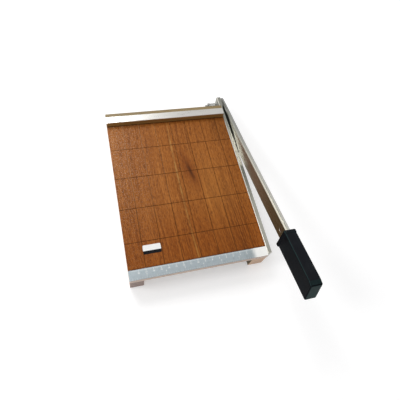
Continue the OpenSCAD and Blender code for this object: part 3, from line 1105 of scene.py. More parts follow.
    @classmethod
    def combine(cls, piece: Piece, other: Piece, work: Work) -> None:
        """Cuts, joins or meets a piece with another, which is used up.

        Args:
            piece: The piece that is kept.
            other: The piece that works on it.
            work: What it does.
        """
        cls.activate(piece)
        tool = piece.modifiers.new("work", "BOOLEAN")
        tool.operation = work.value
        tool.solver = "EXACT"
        tool.object = other
        bpy.ops.object.modifier_apply(modifier=tool.name)
        bpy.data.meshes.remove(other.data)
        with cls.shaping(piece, Element.VERT, whole=True):
            bpy.ops.mesh.remove_doubles(threshold=WELD)
            bpy.ops.mesh.dissolve_degenerate(threshold=WELD)

    @classmethod
    def join(cls, name: str, pieces: Sequence[Piece]) -> Piece:
        """Several pieces as one object.

        Args:
            name: The object's name.
            pieces: The pieces.

        Returns:
            The object.
        """
        cls.activate(pieces[0])
        for piece in pieces[1:]:
            piece.select_set(True)
        bpy.ops.object.join()
        return cls.adopt(name)

    @classmethod
    def smooth(cls, piece: Piece, angle: float = 30.0) -> None:
        """Shades a piece smooth, apart from its sharp edges; wide flats stay flat.

        Args:
            piece: The piece.
            angle: The least turn between two faces that counts as sharp, in degrees.
        """
        cls.activate(piece)
        bpy.ops.object.shade_smooth_by_angle(angle=math.radians(angle))
        flats = piece.modifiers.new("flats", "WEIGHTED_NORMAL")
        flats.weight = WIDE_WEIGHT
        flats.keep_sharp = True
        bpy.ops.object.modifier_apply(modifier=flats.name)

    @staticmethod
    def paint(piece: Piece, finish: Finish, test: FaceTest | None = None) -> None:
        """Gives a finish to a piece's faces.

        Args:
            piece: The piece.
            finish: The finish.
            test: Which faces, by their middle and normal; all of them, as its only finish, if left out.
        """
        if test is None:
            piece.data.materials.clear()
        piece.data.materials.append(finish.material())
        for face in piece.data.polygons:
            if test is None or test(face.center, face.normal):
                face.material_index = len(piece.data.materials) - 1


def hand_over(piece: Piece, body: Body, slot: Slot, *nodes: str) -> None:
    """Seats a finished piece on its body, in place of the CAD nodes that it stands for.

    Args:
        piece: The piece.
        body: The body that carries it.
        slot: The record's slot for its finish; not used.
        nodes: The CAD nodes that it stands for.
    """
    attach(piece, body.value)
    if nodes:
        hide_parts(*nodes)
    LOG.info("%s rides on %s with %d faces", piece.name, body.value, len(piece.data.polygons))


def spread(first: float, last: float, count: int) -> list[float]:
    """Places spaced evenly from first to last, both included."""
    return [first + (last - first) * i / (count - 1) for i in range(count)]


# Fasteners


@dataclass
class ScrewRow:
    """A row of slotted countersunk screws and the holes that hold them."""

    node: str
    body: Body
    places: list[Vector]
    heading: Vector
    length: float
    finish: Finish
    shank: float = 3.6 * MM
    head: float = 7.0 * MM
    tip: float = 1.8 * MM
    rim: float = 0.15 * MM
    slot_width: float = 0.9 * MM
    slot_depth: float = 0.8 * MM
    fit: float = 0.05 * MM
    # Each slot stands at its own angle, as screws do when they are driven home
    slot_turn: float = math.radians(137.5)
    first_turn: float = math.radians(20.0)
    steps: int = 40

    @property
    def sink(self) -> float:
        """How far the shank starts below the head's face."""
        return (self.head - self.shank) / 2

    def drill(self, piece: Piece) -> None:
        """Cuts the row's holes into a piece.

        Args:
            piece: The piece that the screws pass into.
        """
        head = self.head / 2 + self.fit
        shank = self.shank / 2 + self.fit
        above, end = -2 * PAST, self.length + self.fit
        profile = [(above, 0.0), (above, head), (0.0, head), (self.sink, shank), (end, shank), (end, 0.0)]
        for place in self.places:
            Bench.combine(piece, Bench.lathe("drill", profile, place, self.heading), Work.CUT)

    def build(self) -> None:
        """Models one screw and sets a copy of it at each place."""
        head, shank = self.head / 2, self.shank / 2
        profile = [(0.0, 0.0), (0.0, head - 2 * self.rim), (self.rim, head - self.rim), (self.sink, shank),
                   (self.length - self.tip, shank), (self.length, shank - self.tip / 2), (self.length, 0.0)]
        pattern = Bench.lathe("screw_pattern", profile, Vector(), UP, self.steps)
        slot = Bench.block("slot", Vector((-head, -self.slot_width / 2, -PAST)),
                           Vector((head, self.slot_width / 2, self.slot_depth)))
        Bench.combine(pattern, slot, Work.CUT)
        Bench.smooth(pattern)
        Bench.paint(pattern, self.finish)
        for i, place in enumerate(self.places):
            turn = Matrix.Rotation(self.first_turn + i * self.slot_turn, 4, "Z")
            screw = Bench.twin(pattern, f"{self.node}_{i + 1}", Bench.aimed(place, self.heading) @ turn)
            hand_over(screw, self.body, Slot.HARDWARE, self.node)
        bpy.data.objects.remove(pattern)


# Wooden base


@dataclass
class RuledBoard:
    """The veneered board with its V grooves, and the finishes on its faces."""

    veneer_finish: Finish
    row_finish: Finish
    column_finish: Finish
    core_finish: Finish
    side_finish: Finish
    screws: Sequence[ScrewRow]
    rear_margin: float = 14.8 * MM
    first_column: float = 23.4 * MM
    column_pitch: float = 1.0 * INCH
    row_pitch: float = 2.0 * INCH
    groove_width: float = 0.8 * MM
    groove_depth: float = 0.5 * MM
    veneer: float = 0.8 * MM
    easing: float = 0.35 * MM
    # A face that leans less than this from upright has no groove's stain
    groove_lean: float = 0.1
    low: Vector = field(default_factory=lambda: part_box("board")[0])
    high: Vector = field(default_factory=lambda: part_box("board")[1])
    # The bare top lies between the front rule and the fence
    near: float = field(default_factory=lambda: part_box("front_rule")[1].y)
    far: float = field(default_factory=lambda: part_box("rear_fence")[0].y)

    @property
    def columns(self) -> list[float]:
        """Places of the lengthwise grooves.

        Returns:
            Their x.
        """
        first = self.low.x + self.first_column
        count = int((self.high.x - first) / self.column_pitch) + 1
        return [first + i * self.column_pitch for i in range(count)]

    @property
    def rows(self) -> list[float]:
        """Places of the cross grooves, counted from the grid's zero line.

        Returns:
            Their y.
        """
        zero = self.high.y - self.rear_margin
        count = int((zero - self.near) / self.row_pitch)
        return [zero - (i + 1) * self.row_pitch for i in range(count)]

    def build(self) -> None:
        """Models the board and dresses it."""
        piece = Bench.block("ruled_board", self.low, self.high)
        Bench.ease(piece, self.easing)
        floor = self.high.z - self.veneer
        Bench.slice(piece, (0, 0, floor), (0, 0, 1))
        self._groove(piece)
        for row in self.screws:
            row.drill(piece)
        Bench.smooth(piece)
        half, lean = self.groove_width / 2, self.groove_lean
        Bench.paint(piece, self.core_finish)
        Bench.paint(piece, self.side_finish, lambda middle, normal: normal.x < -MOSTLY)
        Bench.paint(piece, self.veneer_finish, lambda middle, normal: middle.z > floor)
        Bench.paint(piece, self.column_finish, lambda middle, normal: middle.z > floor and normal.z > lean
                    and self._on_column(middle, half))
        Bench.paint(piece, self.row_finish, lambda middle, normal: middle.z > floor and normal.z > lean
                    and self._on_row(middle, half))
        hand_over(piece, Body.BASE, Slot.BOARD, "board")

    def _groove(self, piece: Piece) -> None:
        """Cuts three lines for each groove into the top, and sinks the middle one.

        Args:
            piece: The board.
        """
        half = self.groove_width / 2

        def on_top(face: bmesh.types.BMFace) -> bool:
            """Whether a face is part of the flat top."""
            return face.normal.z > WHOLLY and face.calc_center_median().z > self.high.z - TOUCH

        for y in (self.near, self.far):
            Bench.slice(piece, (0, y, 0), (0, 1, 0), on_top)
        for y in self.rows:
            for side in (-half, 0.0, half):
                Bench.slice(piece, (0, y + side, 0), (0, 1, 0))
        for x in self.columns:
            for side in (-half, 0.0, half):
                Bench.slice(piece, (x + side, 0, 0), (1, 0, 0), on_top)
        rim = self.high.z - self.easing - TOUCH
        Bench.shift(piece, (0, 0, -self.groove_depth), lambda vert: vert.co.z > rim
                    and (self._on_row(vert.co, TOUCH) or self._on_column(vert.co, TOUCH)))

    def _on_row(self, point: Vector, reach: float) -> bool:
        """Whether a point lies within reach of a cross groove's middle."""
        return any(abs(point.y - y) < reach for y in self.rows)

    def _on_column(self, point: Vector, reach: float) -> bool:
        """Whether a point lies within reach of a lengthwise groove's middle."""
        between = self.near + TOUCH < point.y < self.far - TOUCH
        return between and any(abs(point.x - x) < reach for x in self.columns)


@dataclass
class Strip:
    """A plain strip with eased edges, such as a runner, the fence or a rule."""

    node: str
    slot: Slot
    finish: Finish
    screws: Sequence[ScrewRow] = ()
    # A darker copy of the wood on the face that points one way, as painted shade
    shaded_face_finish: Finish | None = None
    shaded_face_way: Triple = (0.0, -1.0, 0.0)
    easing: float = 0.7 * MM
    segments: int = 3

    def build(self) -> None:
        """Models the strip and dresses it."""
        piece = Bench.block(f"{self.node}_strip", *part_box(self.node))
        Bench.ease(piece, self.easing, self.segments)
        for row in self.screws:
            row.drill(piece)
        Bench.smooth(piece)
        Bench.paint(piece, self.finish)
        # Painted shade: a darker finish on the face that points the given way
        if self.shaded_face_finish is not None:
            way = Vector(self.shaded_face_way)
            Bench.paint(piece, self.shaded_face_finish, lambda middle, normal: normal.dot(way) > MOSTLY)
        hand_over(piece, Body.BASE, self.slot, self.node)


# Rules and label


@dataclass
class MetalRule(Strip):
    """A thin metal strip with soft edges."""

    easing: float = 0.2 * MM
    segments: int = 2


@dataclass
class RuleMarks:
    """Printed marks on the front rule: centimetres behind, and inches in line with the board's columns."""

    finish: Finish
    columns: list[float]
    proud: float = 0.02 * MM
    stroke: float = 0.22 * MM
    broad: float = 0.50 * MM
    weight: float = 0.10 * MM
    margin: float = 0.5 * MM
    short: float = 1.6 * MM
    medium: float = 2.4 * MM
    long: float = 3.4 * MM
    numeral: float = 2.0 * MM
    numeral_gap: float = 0.4 * MM
    # A capital's height as a share of its font size
    cap_share: float = 0.7
    figure_steps: int = 3
    end_gap: float = 3.0 * MM
    # Ticks in a centimetre and in an inch; halfway stands a longer one
    per_centimetre: int = 10
    per_inch: int = 8

    def build(self) -> None:
        """Models all the marks as one thin print."""
        low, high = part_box("front_rule")
        back, front = high.y - self.margin, low.y + self.margin
        beyond = self.long + self.numeral_gap + self.numeral / 2
        marks = []
        for i in range(1, int((high.x - low.x - self.end_gap) / MM)):
            x, whole = high.x - i * MM, i % self.per_centimetre == 0
            length = self._length(i, self.per_centimetre)
            marks.append(self._tick(x, back - length, back, high.z, self.broad if whole else self.stroke))
            if whole:
                marks.append(self._number(str(i // self.per_centimetre), x, back - beyond, high.z))
        for i, x in enumerate(reversed(self.columns)):
            marks.append(self._number(str(i + 1), x, front + beyond, high.z))
            for step in range(self.per_inch):
                place = x - step * INCH / self.per_inch
                if place >= low.x + self.end_gap:
                    length = self._length(step, self.per_inch)
                    marks.append(self._tick(place, front, front + length, high.z, self.stroke))
        piece = Bench.join("front_rule_marks", marks)
        Bench.paint(piece, self.finish)
        hand_over(piece, Body.BASE, Slot.FRONT_RULE)

    def _length(self, count: int, per_unit: int) -> float:
        """A tick's length, from its place in its unit."""
        part = count % per_unit
        return self.long if part == 0 else self.medium if part == per_unit // 2 else self.short

    def _tick(self, x: float, y0: float, y1: float, z: float, width: float) -> Piece:
        """One tick across the rule."""
        half = Vector((width / 2, 0.0, self.proud))
        return Bench.block("tick", Vector((x, y0, z)) - half, Vector((x, y1, z)) + half)

    def _number(self, text: str, x: float, y: float, z: float) -> Piece:
        """One number, centred on a place.

        Args:
            text: Its figures.
            x: The place's x.
            y: The place's y.
            z: The place's z.

        Returns:
            The number.
        """
        bpy.ops.object.select_all(action="DESELECT")
        bpy.ops.object.text_add()
        words = bpy.context.object.data
        words.body = text
        words.size = self.numeral / self.cap_share
        words.align_x = "CENTER"
        words.align_y = "CENTER"
        words.extrude = self.proud
        words.offset = self.weight
        words.resolution_u = self.figure_steps
        bpy.ops.object.convert(target="MESH")
        bpy.context.object.location = (x, y, z)
        return Bench.adopt("number")


@dataclass
class Label:
    """The bare label: a thin plate with round corners, white above a dark band."""

    white: Finish
    band: Finish
    corner: float = 1.6 * MM
    corner_faces: int = 6
    band_share: float = 0.36
    easing: float = 0.1 * MM

    def build(self) -> None:
        """Models the label and dresses it."""
        low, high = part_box("label_plate")
        piece = Bench.block("bare_label", low, high)
        Bench.ease(piece, self.corner, self.corner_faces,
                   lambda edge: abs((edge.verts[0].co - edge.verts[1].co).z) > TOUCH)
        Bench.ease(piece, self.easing, test=lambda edge: min(v.co.z for v in edge.verts) > high.z - TOUCH)
        line = low.y + self.band_share * (high.y - low.y)
        Bench.slice(piece, (0, line, 0), (0, 1, 0))
        Bench.smooth(piece)
        Bench.paint(piece, self.white)
        Bench.paint(piece, self.band, lambda middle, normal: middle.y < line)
        hand_over(piece, Body.BASE, Slot.LABEL, "label_plate")


# Bed knife and pivot


@dataclass
class BedKnife:
    """The fixed knife along the board's right edge, with a round-cornered ear for the pivot."""

    finish: Finish
    ground_finish: Finish
    pivot: Vector
    screws: ScrewRow
    ear_radius: float = 3.0 * MM
    ear_faces: int = 8
    bevel: float = 0.8 * MM
    easing: float = 0.2 * MM
    bolt: float = 6.0 * MM
    bolt_fit: float = 0.05 * MM

    def build(self) -> None:
        """Models the knife and dresses it."""
        low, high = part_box("bed_knife")
        piece = Bench.block("bed_knife_strip", low, high)

        def runs_across_ear(edge: bmesh.types.BMEdge) -> bool:
            """Whether an edge runs through the knife's thickness at its far end."""
            first, second = (v.co for v in edge.verts)
            return min(first.y, second.y) > high.y - TOUCH and abs(first.x - second.x) > TOUCH

        Bench.ease(piece, self.ear_radius, self.ear_faces, runs_across_ear)
        Bench.ease(piece, self.easing, angle=40.0)
        Bench.slice(piece, (low.x + self.bevel, 0, high.z), (-1, 0, 1), away=True)
        hole = self.bolt / 2 + self.bolt_fit
        depth = high.x - low.x + 2 * PAST
        drill = Bench.lathe("drill", [(0, 0), (0, hole), (depth, hole), (depth, 0)],
                            Vector((low.x - PAST, self.pivot.y, self.pivot.z)), RIGHT)
        Bench.combine(piece, drill, Work.CUT)
        self.screws.drill(piece)
        Bench.smooth(piece)
        Bench.paint(piece, self.finish)
        Bench.paint(piece, self.ground_finish,
                    lambda middle, normal: normal.x < -MOSTLY and normal.z > MOSTLY)
        hand_over(piece, Body.BASE, Slot.BED, "bed_knife")


@dataclass
class PivotStack:
    """The bolt through the ear and the arm, with its washers, spring and nut."""

    pivot: Vector
    steel: Finish
    wire: Finish
    bolt: float = 6.0 * MM
    thread_pitch: float = 1.0 * MM
    thread_depth: float = 0.45 * MM
    # The thread's flat crest as a share of its pitch
    crest_share: float = 1 / 8
    head_height: float = 1.6 * MM
    slot_width: float = 1.5 * MM
    slot_depth: float = 0.8 * MM
    flats: float = 10.0 * MM
    # The nut's end faces as a share of its flats, and the slope that its corners are turned down to
    face_share: float = 0.97
    corner_slope: float = math.radians(28.0)
    hole_fit: float = 0.1 * MM
    chamfer: float = 0.25 * MM
    wire_size: float = 1.8 * MM
    spring_rim: float = 0.7 * MM
    curls: float = 3.0
    rings_per_curl: int = 28
    wire_steps: int = 3
    steps: int = 64
    nut_steps: int = 96

    def build(self) -> None:
        """Models every piece of the stack."""
        for node in ("spacing_washer", "spring_seat_washer", "nut_washer"):
            self._washer(node)
        self._bolt()
        self._nut()
        self._spring()

    def _at(self, x: float) -> Vector:
        """The point of the pivot's axis at x."""
        return Vector((x, self.pivot.y, self.pivot.z))

    def _done(self, piece: Piece, node: str) -> None:
        """Shades, paints and seats a turned piece.

        Args:
            piece: The piece.
            node: The CAD node that it stands for.
        """
        Bench.smooth(piece)
        Bench.paint(piece, self.steel)
        hand_over(piece, Body.BASE, Slot.HARDWARE, node)

    def _washer(self, node: str) -> None:
        """Models a washer with broken edges.

        Args:
            node: The CAD node that it stands for.
        """
        low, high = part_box(node)
        outer, inner = (high.z - low.z) / 2, self.bolt / 2 + self.hole_fit
        thick, c = high.x - low.x, self.chamfer
        profile = [(0, inner + c / 2), (0, outer - c), (c, outer), (thick - c, outer), (thick, outer - c),
                   (thick, inner + c / 2), (thick - c / 2, inner), (c / 2, inner)]
        self._done(Bench.lathe(f"{node}_ring", profile, self._at(low.x), RIGHT, self.steps), node)

    def _bolt(self) -> None:
        """Models the bolt: a low slotted head, a plain shank and a thread up to the spring's seat."""
        low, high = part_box("pivot_bolt")
        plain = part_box("spring_seat_washer")[0].x - low.x
        radius, root, pitch = self.bolt / 2, self.bolt / 2 - self.thread_depth, self.thread_pitch
        profile = [(0.0, 0.0), (0.0, root)]
        for i in range(int(plain / pitch)):
            crest = (i + 0.5) * pitch
            flat = pitch * self.crest_share
            profile += [(crest, radius), (crest + flat, radius), (crest + pitch / 2, root)]
        length, rim, c = high.x - low.x, (high.z - low.z) / 2, self.chamfer
        seat = length - self.head_height
        profile += [(plain, radius), (seat, radius), (seat, rim - c / 2), (seat + c / 2, rim),
                    (length - 2 * c, rim), (length, rim - 3 * c), (length, 0.0)]
        piece = Bench.lathe("slotted_pivot_bolt", profile, self._at(low.x), RIGHT, self.steps)
        half = Vector((self.slot_depth, self.slot_width / 2, rim + PAST))
        Bench.combine(piece, Bench.block("slot", self._at(high.x) - half, self._at(high.x) + half), Work.CUT)
        self._done(piece, "pivot_bolt")

    def _nut(self) -> None:
        """Models the nut: a hexagon with its corners turned down at both ends, and a bore."""
        low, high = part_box("pivot_nut")
        corner = self.flats / 2 / math.cos(math.pi / 6)
        angles = [i * math.pi / 3 for i in range(6)]
        outline = [(self.pivot.y + corner * math.sin(a), self.pivot.z + corner * math.cos(a)) for a in angles]
        piece = Bench.slab("hexagon_pivot_nut", outline, low.x - PAST, high.x + PAST)
        length, face, outside = high.x - low.x, self.flats / 2 * self.face_share, corner + PAST
        drop = (outside - face) * math.tan(self.corner_slope)
        barrel = [(0, 0), (0, face), (drop, outside), (length - drop, outside), (length, face), (length, 0)]
        turning = Bench.lathe("turning", barrel, self._at(low.x), RIGHT, self.nut_steps)
        Bench.combine(piece, turning, Work.MEET)
        hole, c = self.bolt / 2 + self.hole_fit, 2 * self.chamfer
        mouth = hole + c + PAST
        bore = [(-PAST, 0), (-PAST, mouth), (c, hole), (length - c, hole), (length + PAST, mouth),
                (length + PAST, 0)]
        Bench.combine(piece, Bench.lathe("drill", bore, self._at(low.x), RIGHT), Work.CUT)
        self._done(piece, "pivot_nut")

    def _spring(self) -> None:
        """Models the spring as one round wire, with its ends straight against the washers."""
        low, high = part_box("pivot_spring")
        seat_low, seat_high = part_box("spring_seat_washer")
        coil = (seat_high.z - seat_low.z) / 2 - self.spring_rim - self.wire_size / 2
        count = int(self.curls * self.rings_per_curl)
        points = []
        for i, x in enumerate(spread(low.x + self.wire_size, high.x - self.wire_size, count + 1)):
            turn = 2 * math.pi * i / self.rings_per_curl
            points.append(self._at(x) + Vector((0.0, coil * math.cos(turn), coil * math.sin(turn))))
        points.insert(0, Vector((low.x, *points[0].yz)))
        points.append(Vector((high.x, *points[-1].yz)))
        curve = bpy.data.curves.new("wire", "CURVE")
        curve.dimensions = "3D"
        curve.bevel_depth = self.wire_size / 2
        curve.bevel_resolution = self.wire_steps
        curve.use_fill_caps = True
        line = curve.splines.new("POLY")
        line.points.add(len(points) - 1)
        for spot, point in zip(line.points, points):
            spot.co = (*point, 1.0)
        Bench.activate(Bench.carry("pivot_spring_wire", curve))
        bpy.ops.object.convert(target="MESH")
        piece = bpy.context.object
        Bench.weld(piece)
        Bench.smooth(piece, angle=50.0)
        Bench.paint(piece, self.wire)
        hand_over(piece, Body.BASE, Slot.SPRING, "pivot_spring")


# Blade arm


@dataclass
class BladeArm:
    """The blade and the bar that backs it, as they stand raised."""

    blade_finish: Finish
    ground_finish: Finish
    bar_finish: Finish
    blade_easing: float = 0.10 * MM
    bar_easing: float = 0.30 * MM
    # How far a ground face's normal leans to its side and up or down
    ground_lean: float = 0.25

    def build(self) -> None:
        """Models the two strips from the CAD shapes, with their edges broken and the ground faces bright."""
        lean = self.ground_lean
        blade = self._strip("blade", self.blade_easing)
        Bench.paint(blade, self.blade_finish)
        Bench.paint(blade, self.ground_finish, lambda middle, normal: (normal.x < -lean and normal.z > lean)
                    or (normal.x > lean and normal.z < -lean))
        hand_over(blade, Body.ARM, Slot.BLADE, "blade")
        bar = self._strip("arm_bar", self.bar_easing)
        Bench.paint(bar, self.bar_finish)
        hand_over(bar, Body.ARM, Slot.BAR, "arm_bar")

    def _strip(self, node: str, easing: float) -> Piece:
        """A strip of the arm with its sharp edges broken.

        Args:
            node: The CAD node that it stands for.
            easing: Width of the broken edges.

        Returns:
            The strip.
        """
        piece = Bench.copy_of(node, f"{node}_strip")
        Bench.ease(piece, easing, angle=20.0)
        Bench.smooth(piece, angle=25.0)
        return piece


@dataclass
class Handle:
    """The moulded handle: a tapering grip with a deeper guard at its root, drawn level and then raised."""

    finish: Finish
    # The top finish is a lighter copy of the plastic as painted light; the worn finish is wear on the end and
    # a painted highlight on the upper edges
    lit_top_finish: Finish
    facet_finish: Finish
    wear_and_highlight_finish: Finish
    seat: Matrix
    screw: ScrewRow
    arm_width: float = 5.6 * MM
    wall: float = 5.0 * MM
    guard_proud: float = 0.4 * MM
    guard_front: float = 276.7 * MM
    guard_lean: float = 3.0 * MM
    guard_length: float = 6.0 * MM
    guard_low: float = 22.4 * MM
    top: float = 12.1 * MM
    low: float = 19.9 * MM
    end: float = 360.3 * MM
    end_top: float = 357.3 * MM
    end_rise: float = 11.8 * MM
    end_low: float = 18.9 * MM
    facet_length: float = 7.0 * MM
    facet_drop: float = 1.6 * MM
    # The facet's slope towards the end, as a part of its normal
    facet_slope: tuple[float, float] = (-0.4, -0.15)
    # The sideways part of the normals on the long upper edges, and how far they point up
    edge_side: tuple[float, float] = (0.45, 0.85)
    edge_rise: float = 0.45
    strip_height: float = 9.5 * MM
    strip_sink: float = 0.5 * MM
    strip_stop: float = 13.0 * MM
    rounding: float = 1.7 * MM
    rounding_faces: int = 6
    socket_fit: float = 0.12 * MM
    blade_end: float = 288.7 * MM
    edge_low: float = 16.1 * MM
    back: float = 8.7 * MM

    def build(self) -> None:
        """Models the handle and dresses it."""
        piece = self._body()
        Bench.move(piece, self.seat)
        self.screw.drill(piece)
        Bench.smooth(piece, angle=35.0)
        level = self.seat.to_3x3().inverted()

        def on_facet(middle: Vector, normal: Vector) -> bool:
            """Whether a face is part of the facet above the end."""
            way, (low, high) = level @ normal, self.facet_slope
            return low < way.y < high and way.z > ALMOST

        def wear_and_glint(middle: Vector, normal: Vector) -> bool:
            """Whether a face gets wear, on the end, or a painted highlight, on the two long upper edges."""
            way, (low, high) = level @ normal, self.edge_side
            return way.y < -ALMOST or (low < abs(way.x) < high and way.z > self.edge_rise)

        Bench.paint(piece, self.finish)
        # Painted light: a lighter top, and a painted highlight on the long upper edges; the end gets wear
        Bench.paint(piece, self.lit_top_finish, lambda middle, normal: (level @ normal).z > ALMOST)
        Bench.paint(piece, self.facet_finish, on_facet)
        Bench.paint(piece, self.wear_and_highlight_finish, wear_and_glint)
        hand_over(piece, Body.ARM, Slot.HANDLE, "handle")

    def _body(self) -> Piece:
        """Models the handle level, with its guard, the sunk strips on its sides and its socket.

        Returns:
            The handle.
        """
        root, guard_back = self.guard_front + self.guard_lean, self.guard_front + self.guard_length
        grip_side = [(-root, self.top), (-(self.end_top - self.facet_length), self.end_rise),
                     (-self.end_top, self.end_rise - self.facet_drop), (-self.end, -self.end_low),
                     (-root, -self.low)]
        guard_top = self.top + self.guard_proud
        guard_side = [(-self.guard_front, -self.guard_low), (-root, guard_top),
                      (-(root + self.guard_length), guard_top), (-guard_back, -self.guard_low)]
        middle, half = self.arm_width / 2, self.arm_width / 2 + self.wall
        piece = Bench.slab("moulded_handle", grip_side, middle - half, middle + half)
        Bench.ease(piece, self.rounding, self.rounding_faces, angle=4.0)
        for face in (middle - half, middle + half):
            low = Vector((face - self.strip_sink, self.strip_stop - self.end, -self.low - PAST))
            high = Vector((face + self.strip_sink, -guard_back, self.strip_height - self.low))
            Bench.combine(piece, Bench.block("strip", low, high), Work.CUT)
        wide = half + self.guard_proud
        guard = Bench.slab("guard", guard_side, middle - wide, middle + wide)
        Bench.ease(guard, self.rounding, self.rounding_faces)
        Bench.combine(piece, guard, Work.ADD)
        fit = self.socket_fit
        socket = Bench.block("socket", Vector((-fit, -self.blade_end - fit, -self.edge_low - fit)),
                             Vector((self.arm_width + fit, -self.guard_front + PAST, self.back + fit)))
        Bench.combine(piece, socket, Work.CUT)
        return piece


# Studio


@dataclass(frozen=True)
class Lamp:
    """A soft box: where it hangs, its power in watts, and its width and height."""

    name: str
    place: Triple
    power: float
    size: tuple[float, float]

    def hang(self, aim: Vector) -> None:
        """Hangs the lamp.

        Args:
            aim: The point that it faces.
        """
        data = bpy.data.lights.new(self.name, "AREA")
        data.shape = "RECTANGLE"
        data.size, data.size_y = self.size
        data.energy = self.power
        lamp = Bench.carry(self.name, data)
        lamp.location = self.place
        lamp.rotation_euler = (aim - lamp.location).to_track_quat("-Z", "Y").to_euler()


@dataclass
class Studio:
    """A white table under soft light, and the camera at the photograph's place."""

    eye: Triple = (-107.45 * MM, -227.99 * MM, 484.76 * MM)
    azimuth: float = math.radians(28.813)
    depression: float = math.radians(61.214)
    roll: float = math.radians(17.564)
    lens: float = 31.466
    sensor: float = 36.0
    clip_start: float = 10.0 * MM
    floor_size: float = 12.0
    floor_drop: float = 0.2 * MM
    floor_colour: Colour = (0.75, 0.75, 0.752)
    floor_lift: float = 0.36
    floor_glow: Colour = (1.0, 0.995, 0.995)
    horizon: float = 0.86
    zenith: float = 0.42
    aim: Triple = (0.0, 0.0, 0.03)
    lamps: tuple[Lamp, ...] = (
        Lamp("key", (-0.38, 1.00, 1.25), 9.5, (0.7, 0.6)),
        Lamp("fill", (0.70, 0.72, 1.36), 0.9, (0.7, 0.6)),
        Lamp("side", (-1.25, 0.10, 1.15), 8.0, (0.5, 0.5)),
    )

    def build(self) -> None:
        """Sets the floor, the world, the lamps and the camera."""
        self._floor()
        self._world()
        for lamp in self.lamps:
            lamp.hang(Vector(self.aim))
        self._camera()
        bpy.context.scene.view_settings.view_transform = "Standard"

    def _floor(self) -> None:
        """A pale table that shows white but keeps the object's soft shadow."""
        bpy.ops.object.select_all(action="DESELECT")
        bpy.ops.mesh.primitive_plane_add(size=self.floor_size, location=(0, 0, -self.floor_drop))
        floor = Bench.adopt("floor")
        g = ShaderGraph("floor_white")
        g.tree.nodes.remove(g.shader)
        path = g.node("ShaderNodeLightPath")
        seen = Field(g, path["Is Camera Ray"])
        for ray in ("Is Glossy Ray", "Is Transmission Ray"):
            seen = seen.most(Field(g, path[ray]))
        paper = g.node("ShaderNodeBsdfDiffuse", {"Color": self.floor_colour})[0]
        glow = g.node("ShaderNodeEmission", {"Color": self.floor_glow, "Strength": seen * self.floor_lift})[0]
        both = g.node("ShaderNodeAddShader", {0: paper, 1: glow})[0]
        g.feed(g.tree.nodes["Material Output"], {"Surface": both})
        floor.data.materials.append(g.material)

    def _world(self) -> None:
        """A sky that is white at the horizon and greyer overhead."""
        world = bpy.data.worlds.new("studio")
        bpy.context.scene.world = world
        world.use_nodes = True
        tree = world.node_tree
        sky = tree.nodes["Background"]
        sky.inputs["Color"].default_value = (1.0, 1.0, 1.0, 1.0)
        height = tree.nodes.new("ShaderNodeSeparateXYZ")
        tree.links.new(tree.nodes.new("ShaderNodeTexCoord").outputs["Generated"], height.inputs[0])
        fade = tree.nodes.new("ShaderNodeMapRange")
        tree.links.new(height.outputs["Z"], fade.inputs["Value"])
        fade.inputs["To Min"].default_value = self.horizon
        fade.inputs["To Max"].default_value = self.zenith
        tree.links.new(fade.outputs[0], sky.inputs["Strength"])

    def _camera(self) -> None:
        """The camera at the photograph's place."""
        data = bpy.data.cameras.new("camera")
        data.sensor_width = self.sensor
        data.lens = self.lens
        data.clip_start = self.clip_start
        camera = Bench.carry("camera", data)
        turn = Matrix.Rotation(-self.azimuth, 4, "Z") @ Matrix.Rotation(math.pi / 2 - self.depression, 4, "X")
        camera.matrix_world = Matrix.Translation(self.eye) @ turn @ Matrix.Rotation(self.roll, 4, "Z")
        bpy.context.scene.camera = camera


# The whole trimmer


